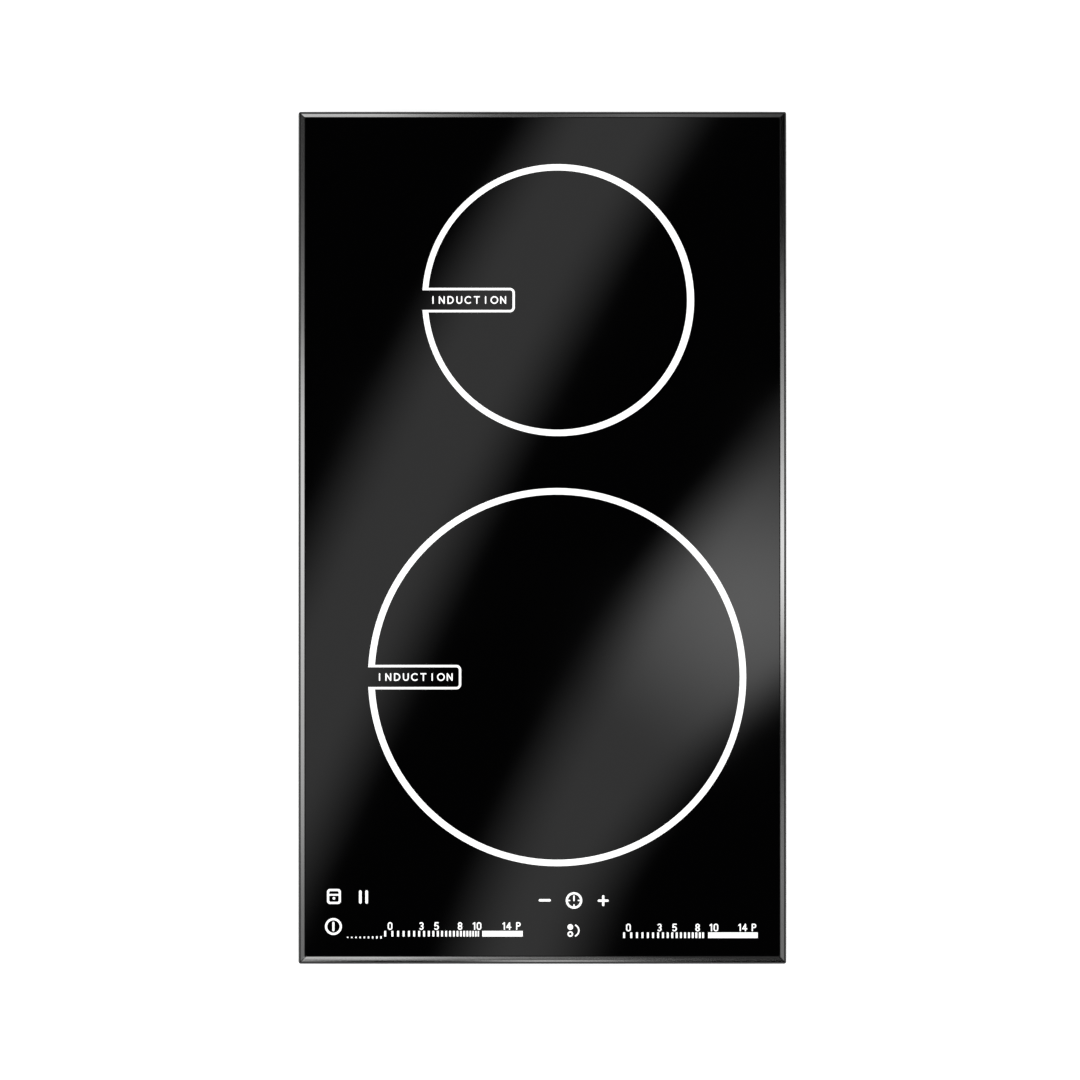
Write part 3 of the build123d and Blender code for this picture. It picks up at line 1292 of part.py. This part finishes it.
export_step(clamp_screws.part, "parts/clamp_screws.step")
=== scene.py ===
import json
import math

import bpy
from bpy.props import FloatProperty, FloatVectorProperty, PointerProperty
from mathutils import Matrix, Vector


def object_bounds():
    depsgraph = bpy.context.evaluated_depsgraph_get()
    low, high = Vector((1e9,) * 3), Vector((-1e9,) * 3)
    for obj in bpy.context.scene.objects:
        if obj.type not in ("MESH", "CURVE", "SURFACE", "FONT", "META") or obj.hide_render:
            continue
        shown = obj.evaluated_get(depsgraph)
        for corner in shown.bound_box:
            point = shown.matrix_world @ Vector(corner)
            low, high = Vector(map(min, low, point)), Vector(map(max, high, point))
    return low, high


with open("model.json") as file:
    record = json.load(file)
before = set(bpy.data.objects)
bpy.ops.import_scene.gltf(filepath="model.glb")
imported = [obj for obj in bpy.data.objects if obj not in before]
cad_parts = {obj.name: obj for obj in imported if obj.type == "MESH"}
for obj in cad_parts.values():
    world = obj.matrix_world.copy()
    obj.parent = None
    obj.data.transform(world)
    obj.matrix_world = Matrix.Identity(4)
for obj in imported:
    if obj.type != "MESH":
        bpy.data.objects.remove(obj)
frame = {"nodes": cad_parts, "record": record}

bl_info = {
    "name": "Built-in induction cooktop",
    "version": (1, 0, 0),
    "blender": (4, 5, 0),
    "location": "3D View > Sidebar > Cooktop",
    "description": "Finishes, hardware and studio for a two-zone built-in induction cooktop",
    "category": "Object",
}

CAD_LOW, CAD_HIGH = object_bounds()
NODES = frame["nodes"]
MILLIMETRE = 0.001
# Painted shade: the trim is painted dark up to 1 mm in from its outer edge, fading to plain steel by 1.5 mm.
TRIM_PAINTED_SHADE_EDGE = (1.0 * MILLIMETRE, 1.5 * MILLIMETRE)
TRIM_MITRE_LINE = (0.15 * MILLIMETRE, 0.55 * MILLIMETRE)
WORLD_GLOW = 0.45
SLOTS = {part["node"]: part["material_slot"] for part in frame["record"]["subparts"]}


# ---------------------------------------------------------------- settings


class CooktopStageSettings(bpy.types.PropertyGroup):
    """Sizes and strengths of the studio round the cooktop."""

    view_width: FloatProperty(
        name="View width", description="Width of the square view from above", default=0.6465, unit="LENGTH"
    )
    floor_size: FloatProperty(
        name="Floor size", description="Side of the square floor", default=9.0, unit="LENGTH"
    )
    floor_color: FloatVectorProperty(
        name="Floor colour", description="Paint of the floor", default=(0.52, 0.52, 0.52), subtype="COLOR"
    )
    floor_glow: FloatProperty(
        name="Floor glow", description="Light given off by the lit floor panel", default=0.60, min=0.0
    )
    key_power: FloatProperty(
        name="Key power", description="Power of the large light overhead in watts", default=62.0, min=0.0
    )
    card_height: FloatProperty(
        name="Card height", description="Height of the reflection cards", default=1.2, unit="LENGTH"
    )
    band_glow: FloatProperty(
        name="Band glow", description="Brightness of the soft bands mirrored in the glass",
        default=0.80, min=0.0
    )


class CooktopFinishSettings(bpy.types.PropertyGroup):
    """Colours of the main finishes."""

    glass: FloatVectorProperty(
        name="Glass", description="Body colour of the glass-ceramic", default=(0.0004, 0.0004, 0.00045),
        subtype="COLOR", min=0.0, max=1.0,
    )
    enamel: FloatVectorProperty(
        name="Enamel", description="Printed enamel",
        default=(0.86, 0.86, 0.85), subtype="COLOR", min=0.0, max=1.0
    )
    trim: FloatVectorProperty(
        name="Trim", description="Polished trim metal", default=(0.62, 0.62, 0.615), subtype="COLOR",
        min=0.0, max=1.0,
    )
    zinc: FloatVectorProperty(
        name="Zinc", description="Galvanised sheet",
        default=(0.55, 0.56, 0.57), subtype="COLOR", min=0.0, max=1.0
    )
    plastic: FloatVectorProperty(
        name="Plastic", description="Black mouldings", default=(0.022, 0.022, 0.024), subtype="COLOR",
        min=0.0, max=1.0,
    )


# ---------------------------------------------------------------- shader helpers


def group_of(name, inputs, outputs):
    """An empty shader group with its sockets, and the two end nodes."""
    group = bpy.data.node_groups.new(name, "ShaderNodeTree")
    for socket, kind, value in inputs:
        made = group.interface.new_socket(name=socket, in_out="INPUT", socket_type=kind)
        if value is not None:
            made.default_value = value
    for socket, kind in outputs:
        group.interface.new_socket(name=socket, in_out="OUTPUT", socket_type=kind)
    start = group.nodes.new("NodeGroupInput")
    end = group.nodes.new("NodeGroupOutput")
    return group, start, end


def mottle_group():
    """Soft irregular patches between 0 and 1, as a mask."""
    group, start, end = group_of(
        "Mottle",
        [("Place", "NodeSocketVector", None), ("Scale", "NodeSocketFloat", 40.0),
        ("Detail", "NodeSocketFloat", 4.0),
         ("Low", "NodeSocketFloat", 0.35), ("High", "NodeSocketFloat", 0.65)],
        [("Mask", "NodeSocketFloat")],
    )
    noise = group.nodes.new("ShaderNodeTexNoise")
    spread = group.nodes.new("ShaderNodeMapRange")
    spread.interpolation_type = "SMOOTHSTEP"
    group.links.new(start.outputs["Place"], noise.inputs["Vector"])
    group.links.new(start.outputs["Scale"], noise.inputs["Scale"])
    group.links.new(start.outputs["Detail"], noise.inputs["Detail"])
    group.links.new(noise.outputs["Fac"], spread.inputs["Value"])
    group.links.new(start.outputs["Low"], spread.inputs["From Min"])
    group.links.new(start.outputs["High"], spread.inputs["From Max"])
    group.links.new(spread.outputs["Result"], end.inputs["Mask"])
    return group


def spangle_group():
    """Crystals of hot-dip zinc: a flat value for each crystal, and a fine height."""
    group, start, end = group_of(
        "Zinc spangle",
        [("Place", "NodeSocketVector", None), ("Crystals", "NodeSocketFloat", 170.0)],
        [("Crystal", "NodeSocketFloat"), ("Height", "NodeSocketFloat")],
    )
    cells = group.nodes.new("ShaderNodeTexVoronoi")
    cells.inputs["Randomness"].default_value = 1.0
    warp = group.nodes.new("ShaderNodeTexNoise")
    warp.inputs["Scale"].default_value = 90.0
    shift = group.nodes.new("ShaderNodeVectorMath")
    shift.operation = "MULTIPLY_ADD"
    shift.inputs[1].default_value = (0.004, 0.004, 0.004)
    split = group.nodes.new("ShaderNodeSeparateColor")
    group.links.new(start.outputs["Place"], warp.inputs["Vector"])
    group.links.new(warp.outputs["Color"], shift.inputs[0])
    group.links.new(start.outputs["Place"], shift.inputs[2])
    group.links.new(shift.outputs["Vector"], cells.inputs["Vector"])
    group.links.new(start.outputs["Crystals"], cells.inputs["Scale"])
    group.links.new(cells.outputs["Color"], split.inputs["Color"])
    group.links.new(split.outputs["Red"], end.inputs["Crystal"])
    group.links.new(cells.outputs["Distance"], end.inputs["Height"])
    return group


GROUPS = {}


def shared(name, maker):
    """A shader group, built once."""
    if name not in GROUPS:
        GROUPS[name] = maker()
    return GROUPS[name]


def start_material(name, color, metallic=0.0, roughness=0.5):
    """A material with its shader and the object's coordinates."""
    material = bpy.data.materials.new(name)
    material.use_nodes = True
    tree = material.node_tree
    shader = tree.nodes["Principled BSDF"]
    shader.inputs["Base Color"].default_value = (*color, 1.0)
    shader.inputs["Metallic"].default_value = metallic
    shader.inputs["Roughness"].default_value = roughness
    place = tree.nodes.new("ShaderNodeTexCoord")
    return material, tree, shader, place.outputs["Object"]


def place_group(tree, group, place, **values):
    """A group node fed with a place and its own values."""
    node = tree.nodes.new("ShaderNodeGroup")
    node.node_tree = group
    tree.links.new(place, node.inputs["Place"])
    for socket, value in values.items():
        node.inputs[socket].default_value = value
    return node


def blend_colors(tree, mask, low, high):
    """A colour between two, chosen by a mask."""
    mix = tree.nodes.new("ShaderNodeMix")
    mix.data_type = "RGBA"
    mix.inputs["A"].default_value = (*low, 1.0)
    mix.inputs["B"].default_value = (*high, 1.0)
    tree.links.new(mask, mix.inputs["Factor"])
    return mix.outputs["Result"]


def spread_value(tree, mask, low, high):
    """A value between two, chosen by a mask."""
    node = tree.nodes.new("ShaderNodeMapRange")
    node.inputs["To Min"].default_value = low
    node.inputs["To Max"].default_value = high
    tree.links.new(mask, node.inputs["Value"])
    return node.outputs["Result"]


def add_bump(tree, shader, height, distance, strength=1.0):
    """Relief on a surface from a height."""
    bump = tree.nodes.new("ShaderNodeBump")
    bump.inputs["Distance"].default_value = distance
    bump.inputs["Strength"].default_value = strength
    tree.links.new(height, bump.inputs["Height"])
    tree.links.new(bump.outputs["Normal"], shader.inputs["Normal"])


def stretched(tree, place, scale):
    """A place drawn out along one direction."""
    mapping = tree.nodes.new("ShaderNodeMapping")
    mapping.inputs["Scale"].default_value = scale
    tree.links.new(place, mapping.inputs["Vector"])
    return mapping.outputs["Vector"]


def tinted(color, factor):
    """A colour made lighter or darker."""
    return tuple(min(channel * factor, 1.0) for channel in color)


# ---------------------------------------------------------------- finishes


def glass_ceramic():
    """Polished black glass-ceramic with the faintest polishing haze."""
    look = bpy.context.scene.cooktop_finish
    material, tree, shader, place = start_material("Black glass-ceramic", look.glass)
    haze = place_group(tree, shared("Mottle", mottle_group), place, Scale=9.0, Detail=3.0)
    tree.links.new(spread_value(tree, haze.outputs["Mask"], 0.025, 0.045), shader.inputs["Roughness"])
    shader.inputs["IOR"].default_value = 1.5
    return material


def printed_enamel():
    """Fired ceramic ink, off-white and slightly grainy."""
    look = bpy.context.scene.cooktop_finish
    material, tree, shader, place = start_material("Printed enamel", look.enamel, roughness=0.42)
    grain = place_group(tree, shared("Mottle", mottle_group), place, Scale=1400.0, Detail=2.0)
    color = blend_colors(tree, grain.outputs["Mask"], tinted(look.enamel, 0.93), look.enamel)
    tree.links.new(color, shader.inputs["Base Color"])
    return material


def trim_metal(along):
    """Polished trim steel drawn along one direction, with painted shade darkening its outer edge and dark
    joint lines along the mitres.
    """
    look = bpy.context.scene.cooktop_finish
    material, tree, shader, place = start_material(f"Trim steel along {along}", look.trim, metallic=1.0)
    drawn = (12.0, 4000.0, 4000.0) if along == "X" else (4000.0, 12.0, 4000.0)
    lines = place_group(
        tree, shared("Mottle", mottle_group), stretched(tree, place, drawn),
        Scale=1.0, Detail=3.0, Low=0.3, High=0.7
    )
    tree.links.new(spread_value(tree, lines.outputs["Mask"], 0.07, 0.13), shader.inputs["Roughness"])
    # Painted shade: the outer edge of every bar gets a tenth of the trim colour, a painted dark reflection of
    # the outer bevel. lit is 0 there and along the mitres, where the dark lines are the joints between the
    # bars.
    axes = tree.nodes.new("ShaderNodeSeparateXYZ")
    tree.links.new(place, axes.inputs["Vector"])
    distances = [
        calculate(tree, "SUBTRACT", edge, calculate(tree, "ABSOLUTE", axes.outputs[axis]))
        for axis, edge in (("X", CAD_HIGH.x), ("Y", CAD_HIGH.y))
    ]
    nearest = calculate(tree, "MINIMUM", distances[0], distances[1])
    painted_shade_edge_mask = soft_step(tree, nearest, *TRIM_PAINTED_SHADE_EDGE)
    off_mitre = calculate(tree, "ABSOLUTE", calculate(tree, "SUBTRACT", distances[0], distances[1]))
    lit = calculate(
        tree, "MULTIPLY", painted_shade_edge_mask,
        soft_step(tree, off_mitre, *TRIM_MITRE_LINE),
    )
    color = blend_colors(tree, lit, tinted(look.trim, 0.1), look.trim)
    tree.links.new(color, shader.inputs["Base Color"])
    return material


def zinc_sheet():
    """Galvanised sheet with crystals and handling marks."""
    look = bpy.context.scene.cooktop_finish
    material, tree, shader, place = start_material("Galvanised sheet", look.zinc, metallic=1.0, roughness=0.4)
    crystals = place_group(tree, shared("Zinc spangle", spangle_group), place, Crystals=150.0)
    color = blend_colors(tree, crystals.outputs["Crystal"], tinted(look.zinc, 0.8), tinted(look.zinc, 1.2))
    tree.links.new(color, shader.inputs["Base Color"])
    tree.links.new(spread_value(tree, crystals.outputs["Crystal"], 0.34, 0.55), shader.inputs["Roughness"])
    add_bump(tree, shader, crystals.outputs["Height"], 0.00004, 0.5)
    # Flat panels keep one normal right up to their bends
    facing = tree.nodes.new("ShaderNodeNewGeometry")
    tree.links.new(facing.outputs["True Normal"], tree.nodes["Bump"].inputs["Normal"])
    return material


def moulded_plastic(name, color, roughness=0.5, grain=1800.0):
    """Moulded plastic with a fine spark-eroded grain."""
    material, tree, shader, place = start_material(name, color, roughness=roughness)
    texture = place_group(tree, shared("Mottle", mottle_group), place, Scale=grain, Detail=2.0)
    patches = place_group(tree, shared("Mottle", mottle_group), place, Scale=25.0, Detail=3.0)
    mixed = blend_colors(tree, patches.outputs["Mask"], tinted(color, 0.85), tinted(color, 1.15))
    tree.links.new(mixed, shader.inputs["Base Color"])
    tree.links.new(
        spread_value(tree, patches.outputs["Mask"], roughness - 0.06, roughness + 0.06),
        shader.inputs["Roughness"]
    )
    add_bump(tree, shader, texture.outputs["Mask"], 0.00003, 0.6)
    return material


def plain_metal(name, color, roughness=0.3, drawn=(300.0, 300.0, 300.0)):
    """Bare metal with fine marks drawn along one direction."""
    material, tree, shader, place = start_material(name, color, metallic=1.0, roughness=roughness)
    marks = place_group(
        tree, shared("Mottle", mottle_group), stretched(tree, place, drawn), Scale=1.0, Detail=4.0
    )
    mixed = blend_colors(tree, marks.outputs["Mask"], tinted(color, 0.85), tinted(color, 1.1))
    tree.links.new(mixed, shader.inputs["Base Color"])
    tree.links.new(
        spread_value(tree, marks.outputs["Mask"], roughness - 0.06, roughness + 0.08),
        shader.inputs["Roughness"]
    )
    return material


def foam_rubber(name, color, cell=2200.0):
    """Closed-cell foam or rubber, matt and pitted."""
    material, tree, shader, place = start_material(name, color, roughness=0.85)
    cells = tree.nodes.new("ShaderNodeTexVoronoi")
    cells.inputs["Scale"].default_value = cell
    tree.links.new(place, cells.inputs["Vector"])
    mixed = blend_colors(tree, cells.outputs["Distance"], tinted(color, 0.7), tinted(color, 1.3))
    tree.links.new(mixed, shader.inputs["Base Color"])
    add_bump(tree, shader, cells.outputs["Distance"], 0.0001, 0.6)
    return material


def circuit_board():
    """Green solder mask over faint copper tracks."""
    material, tree, shader, place = start_material("Circuit board", (0.02, 0.12, 0.05), roughness=0.3)
    tracks = tree.nodes.new("ShaderNodeTexBrick")
    tracks.inputs["Scale"].default_value = 90.0
    tracks.inputs["Color1"].default_value = (0.02, 0.12, 0.05, 1.0)
    tracks.inputs["Color2"].default_value = (0.025, 0.15, 0.06, 1.0)
    tracks.inputs["Mortar"].default_value = (0.05, 0.24, 0.10, 1.0)
    tree.links.new(place, tracks.inputs["Vector"])
    tree.links.new(tracks.outputs["Color"], shader.inputs["Base Color"])
    return material


FINISHES = {
    "black_glass": glass_ceramic,
    "white_enamel": printed_enamel,
    "zinc_steel": zinc_sheet,
    "circuit_board": circuit_board,
    "dark_sealant": lambda: foam_rubber("Dark silicone", (0.004, 0.004, 0.004), 500.0),
    "gasket_foam": lambda: foam_rubber("Gasket foam", (0.03, 0.03, 0.03)),
    "black_rubber": lambda: foam_rubber("Black rubber", (0.02, 0.02, 0.02), 900.0),
    "screw_steel": lambda: plain_metal("Zinc-plated steel", (0.62, 0.62, 0.58), 0.28),
    "dark_metal": lambda: plain_metal("Dark motor shell", (0.12, 0.12, 0.13), 0.42),
    "aluminium_sheet": lambda: plain_metal("Aluminium sheet", (0.72, 0.73, 0.74), 0.34, (20.0, 900.0, 900.0)),
    "aluminium_extrusion": lambda: plain_metal(
        "Extruded aluminium", (0.68, 0.69, 0.7), 0.3, (900.0, 20.0, 900.0)
    ),
    "black_plastic": lambda: moulded_plastic(
        "Black moulding", tuple(bpy.context.scene.cooktop_finish.plastic), 0.48
    ),
    "grey_plastic": lambda: moulded_plastic("Grey moulding", (0.2, 0.21, 0.22), 0.55),
    "white_plastic": lambda: moulded_plastic("White moulding", (0.72, 0.72, 0.69), 0.5),
    "capacitor_case": lambda: moulded_plastic("Capacitor case", (0.03, 0.1, 0.32), 0.4),
    "ribbon_plastic": lambda: moulded_plastic("Ribbon cable", (0.42, 0.43, 0.45), 0.5),
    "copper_wire": lambda: plain_metal("Enamelled copper", (0.62, 0.3, 0.15), 0.32, (700.0, 700.0, 900.0)),
    "ferrite": lambda: moulded_plastic("Ferrite", (0.04, 0.04, 0.045), 0.6, 900.0),
    "mica": lambda: moulded_plastic("Mica sheet", (0.55, 0.5, 0.4), 0.5, 300.0),
    "lead_sleeve": lambda: moulded_plastic("Glass sleeve", (0.62, 0.58, 0.5), 0.7, 1200.0),
}
MADE = {}


def finish_of(slot_name):
    """The material of a slot, made on first use."""
    if slot_name not in MADE:
        MADE[slot_name] = FINISHES[slot_name]()
    return MADE[slot_name]


def dress(node, material):
    """Puts a material on every slot of a CAD node."""
    mesh = NODES[node].data
    if not mesh.materials:
        mesh.materials.append(material)
    for index in range(len(mesh.materials)):
        mesh.materials[index] = material


def dress_slots(*slots):
    """Dresses every node of the named slots."""
    dressed = [node for node, slot_name in SLOTS.items() if slot_name in slots]
    if not dressed:
        raise RuntimeError(f"no node uses {slots}")
    for node in dressed:
        dress(node, finish_of(SLOTS[node]))


# ---------------------------------------------------------------- pieces and stage


class COOKTOP_OT_camera(bpy.types.Operator):
    """Camera straight above the cooktop"""

    bl_idname = "cooktop.camera"
    bl_label = "Camera"

    def execute(self, context):
        height = CAD_HIGH.z + 0.9
        bpy.ops.object.camera_add(
            location=(-1.44 * MILLIMETRE, -1.32 * MILLIMETRE, height), rotation=(0, 0, 0)
        )
        camera = context.object
        camera.name = "cooktop_camera"
        camera.data.type = "ORTHO"
        camera.data.ortho_scale = context.scene.cooktop_stage.view_width
        camera.data.clip_end = 20.0
        context.scene.camera = camera
        return {"FINISHED"}


class COOKTOP_OT_glass(bpy.types.Operator):
    """Black glass plate and its dark edge seal"""

    bl_idname = "cooktop.glass"
    bl_label = "Glass"

    def execute(self, context):
        dress_slots("black_glass", "dark_sealant")
        return {"FINISHED"}


class COOKTOP_OT_print(bpy.types.Operator):
    """White enamel rings, scales and key symbols"""

    bl_idname = "cooktop.print"
    bl_label = "Print"

    def execute(self, context):
        dress_slots("white_enamel")
        return {"FINISHED"}


class COOKTOP_OT_trim(bpy.types.Operator):
    """Polished steel trim bars"""

    bl_idname = "cooktop.trim"
    bl_label = "Trim"

    def execute(self, context):
        for along, names in (("X", ("trim_front", "trim_rear")), ("Y", ("trim_left", "trim_right"))):
            material = trim_metal(along)
            for name in names:
                dress(name, material)
        return {"FINISHED"}


class COOKTOP_OT_housing(bpy.types.Operator):
    """Galvanised tray, its mouldings, gasket and clamps"""

    bl_idname = "cooktop.housing"
    bl_label = "Housing"

    def execute(self, context):
        dress_slots("zinc_steel", "gasket_foam", "black_rubber", "screw_steel", "black_plastic")
        return {"FINISHED"}


class COOKTOP_OT_coils(bpy.types.Operator):
    """Windings, ferrites and mica of both coils"""

    bl_idname = "cooktop.coils"
    bl_label = "Coils"

    def execute(self, context):
        dress_slots("copper_wire", "ferrite", "mica", "lead_sleeve", "aluminium_sheet", "grey_plastic")
        return {"FINISHED"}


class COOKTOP_OT_electronics(bpy.types.Operator):
    """Boards, heat sink, capacitors and fan motor"""

    bl_idname = "cooktop.electronics"
    bl_label = "Electronics"

    def execute(self, context):
        dress_slots(
            "circuit_board", "aluminium_extrusion", "capacitor_case",
            "white_plastic", "dark_metal", "ribbon_plastic"
        )
        return {"FINISHED"}


def emission_card(name, size, center, glow_of):
    """A light card seen only in reflections, its glow drawn on its own coordinates."""
    bpy.ops.mesh.primitive_plane_add(size=1.0, location=center)
    card = bpy.context.object
    card.name = name
    bpy.ops.object.mode_set(mode="EDIT")
    bpy.ops.transform.resize(value=(size[0], size[1], 1.0))
    bpy.ops.object.mode_set(mode="OBJECT")
    material = bpy.data.materials.new(name)
    material.use_nodes = True
    tree = material.node_tree
    tree.nodes.remove(tree.nodes["Principled BSDF"])
    glow = tree.nodes.new("ShaderNodeEmission")
    place = tree.nodes.new("ShaderNodeTexCoord").outputs["Object"]
    tree.links.new(glow_of(tree, place), glow.inputs["Strength"])
    tree.links.new(glow.outputs["Emission"], tree.nodes["Material Output"].inputs["Surface"])
    card.data.materials.append(material)
    card.visible_camera = False
    card.visible_diffuse = False
    card.visible_shadow = False
    card.visible_transmission = False
    return card


def calculate(tree, operation, first, second=0.0, third=0.0):
    """One sum on values or sockets."""
    node = tree.nodes.new("ShaderNodeMath")
    node.operation = operation
    for index, value in enumerate((first, second, third)):
        if isinstance(value, (int, float)):
            node.inputs[index].default_value = value
        else:
            tree.links.new(value, node.inputs[index])
    return node.outputs["Value"]


def soft_step(tree, value, start, end):
    """A smooth ramp from 0 at start to 1 at end."""
    node = tree.nodes.new("ShaderNodeMapRange")
    node.interpolation_type = "SMOOTHSTEP"
    tree.links.new(value, node.inputs["Value"])
    node.inputs["From Min"].default_value = start
    node.inputs["From Max"].default_value = end
    return node.outputs["Result"]


def parabola(tree, y, offset, slope, bend):
    """offset + slope * y + bend * y * y."""
    curve = calculate(tree, "MULTIPLY_ADD", y, bend, slope)
    return calculate(tree, "MULTIPLY_ADD", y, curve, offset)


def window_bands(tree, place):
    """Two soft slanting bands of window light and a brighter patch at the right."""
    axes = tree.nodes.new("ShaderNodeSeparateXYZ")
    tree.links.new(place, axes.inputs["Vector"])
    x, y = axes.outputs["X"], axes.outputs["Y"]
    rear_y = calculate(tree, "MAXIMUM", y, 0.0)
    rear_bend = calculate(tree, "MULTIPLY", calculate(tree, "MULTIPLY", rear_y, rear_y), 0.27)
    first_middle = calculate(tree, "ADD", calculate(tree, "MULTIPLY_ADD", y, 0.47, -0.0899), rear_bend)
    first_away = calculate(tree, "ABSOLUTE", calculate(tree, "SUBTRACT", x, first_middle))
    first = soft_step(tree, first_away, 0.066, 0.016)
    second_left = calculate(tree, "SUBTRACT", x, parabola(tree, y, 0.081, 0.74, 0.85))
    low_y = calculate(tree, "ADD", y, 0.2216)
    second_right = calculate(tree, "SUBTRACT", parabola(tree, low_y, 0.0357, 0.45, 2.9), x)
    second = calculate(
        tree, "MULTIPLY", soft_step(tree, second_left, -0.021, 0.034),
        soft_step(tree, second_right, -0.021, 0.034)
    )
    across = calculate(tree, "MULTIPLY", calculate(tree, "SUBTRACT", x, 0.125), 13.0)
    along = calculate(tree, "MULTIPLY", calculate(tree, "SUBTRACT", y, -0.04), 15.0)
    across = calculate(tree, "MULTIPLY", across, across)
    away = calculate(tree, "SQRT", calculate(tree, "MULTIPLY_ADD", along, along, across))
    patch = calculate(tree, "MULTIPLY_ADD", soft_step(tree, away, 1.6, 0.0), 2.2, 1.0)
    total = calculate(tree, "ADD", first, calculate(tree, "MULTIPLY", second, patch))
    return calculate(tree, "MULTIPLY", total, bpy.context.scene.cooktop_stage.band_glow)


def ramp_glow(axis, stops):
    """A glow that changes along one axis through the given (place in metres, glow) stops."""

    def glow(tree, place):
        axes = tree.nodes.new("ShaderNodeSeparateXYZ")
        tree.links.new(place, axes.inputs["Vector"])
        total = None
        base = stops[0][1]
        for (start, low), (end, high) in zip(stops, stops[1:]):
            step = calculate(tree, "MULTIPLY", soft_step(tree, axes.outputs[axis], start, end), high - low)
            total = step if total is None else calculate(tree, "ADD", total, step)
        return calculate(tree, "ADD", total, base)

    return glow


def black_glow(tree, place):
    """No light at all."""
    axes = tree.nodes.new("ShaderNodeSeparateXYZ")
    tree.links.new(place, axes.inputs["Vector"])
    return calculate(tree, "MULTIPLY", axes.outputs["X"], 0.0)


class COOKTOP_OT_stage(bpy.types.Operator):
    """Pale floor, soft overhead light and reflection cards"""

    bl_idname = "cooktop.stage"
    bl_label = "Studio"

    def execute(self, context):
        stage = context.scene.cooktop_stage
        bpy.ops.mesh.primitive_plane_add(size=stage.floor_size, location=(0, 0, CAD_LOW.z))
        floor = context.object
        floor.name = "studio_floor"
        material, tree, shader, place = start_material("Pale floor", stage.floor_color, roughness=0.9)
        shader.inputs["Specular IOR Level"].default_value = 0.1
        shader.inputs["Emission Color"].default_value = (1, 1, 1, 1)
        shader.inputs["Emission Strength"].default_value = stage.floor_glow
        floor.data.materials.append(material)

        bpy.ops.object.light_add(type="AREA", location=(0, 0, 2.2))
        key = context.object
        key.name = "key_light"
        key.data.shape = "SQUARE"
        key.data.size = 1.6
        key.data.energy = stage.key_power
        key.visible_glossy = False
        for name, place, turn, power in (
            ("side_light_left", (-1.6, -0.9, 0.9), (math.radians(65), 0, math.radians(-60)), 9.0),
            ("side_light_rear", (1.3, 1.5, 0.8), (math.radians(70), 0, math.radians(140)), 7.0),
        ):
            bpy.ops.object.light_add(type="AREA", location=place, rotation=turn)
            light = context.object
            light.name = name
            light.data.shape = "RECTANGLE"
            light.data.size = 1.2
            light.data.size_y = 0.5
            light.data.energy = power

        height = stage.card_height
        emission_card("black_flag", (2.6, 2.6), (0, 0, height + 0.05), black_glow)
        emission_card("band_card", (0.36, 0.60), (0, 0, height), window_bands)
        left_stops = [(-0.24, 0.22), (-0.12, 0.62), (0.0, 1.00), (0.07, 0.85), (0.14, 0.18), (0.24, 0.05)]
        right_stops = [
            (-0.24, 0.24), (-0.18, 0.28), (-0.11, 0.0), (-0.01, 1.40), (0.06, 0.60), (0.12, 0.30), (0.18, 0.0)
        ]
        rear_stops = [(-0.13, 0.80), (-0.10, 0.95), (-0.06, 0.25), (-0.02, 0.05), (0.06, 0.20), (0.14, 0.08)]
        front_stops = [(-0.14, 0.80), (-0.10, 0.95), (-0.06, 0.40), (-0.02, 0.25), (0.02, 0.18), (0.06, 0.04)]
        for name, size, center, axis, stops in (
            ("card_for_left_bar", (0.56, 0.62), (0.52, 0, height), "Y", left_stops),
            ("card_for_right_bar", (0.56, 0.62), (-0.52, 0, height), "Y", right_stops),
            ("card_for_rear_bar", (0.40, 0.40), (0, -0.58, height), "X", rear_stops),
            ("card_for_front_bar", (0.40, 0.56), (0, 0.60, height), "X", front_stops),
        ):
            emission_card(name, size, center, ramp_glow(axis, stops))

        world = bpy.data.worlds.new("Studio world")
        world.use_nodes = True
        world.node_tree.nodes["Background"].inputs["Color"].default_value = (0.93, 0.94, 0.96, 1)
        world.node_tree.nodes["Background"].inputs["Strength"].default_value = WORLD_GLOW
        context.scene.world = world
        context.scene.view_settings.view_transform = "Standard"
        return {"FINISHED"}


OPERATORS = (
    COOKTOP_OT_camera, COOKTOP_OT_glass, COOKTOP_OT_print, COOKTOP_OT_trim, COOKTOP_OT_housing,
    COOKTOP_OT_coils, COOKTOP_OT_electronics, COOKTOP_OT_stage,
)


class COOKTOP_PT_panel(bpy.types.Panel):
    """Buttons for every step of the cooktop"""

    bl_idname = "COOKTOP_PT_panel"
    bl_label = "Cooktop"
    bl_space_type = "VIEW_3D"
    bl_region_type = "UI"
    bl_category = "Cooktop"

    def draw(self, context):
        for operator in OPERATORS:
            self.layout.operator(operator.bl_idname)
        for settings in (context.scene.cooktop_finish, context.scene.cooktop_stage):
            for name in settings.__annotations__:
                self.layout.prop(settings, name)


CLASSES = (CooktopStageSettings, CooktopFinishSettings, *OPERATORS, COOKTOP_PT_panel)


def register():
    for cls in CLASSES:
        bpy.utils.register_class(cls)
    bpy.types.Scene.cooktop_stage = PointerProperty(type=CooktopStageSettings)
    bpy.types.Scene.cooktop_finish = PointerProperty(type=CooktopFinishSettings)


def unregister():
    del bpy.types.Scene.cooktop_finish
    del bpy.types.Scene.cooktop_stage
    for cls in reversed(CLASSES):
        bpy.utils.unregister_class(cls)


def main():
    register()
    bpy.ops.object.select_all(action="DESELECT")
    bpy.ops.cooktop.camera()
    bpy.ops.cooktop.glass()
    bpy.ops.cooktop.print()
    bpy.ops.cooktop.trim()
    bpy.ops.cooktop.housing()
    bpy.ops.cooktop.coils()
    bpy.ops.cooktop.electronics()
    bpy.ops.cooktop.stage()


if __name__ == "__main__":
    main()
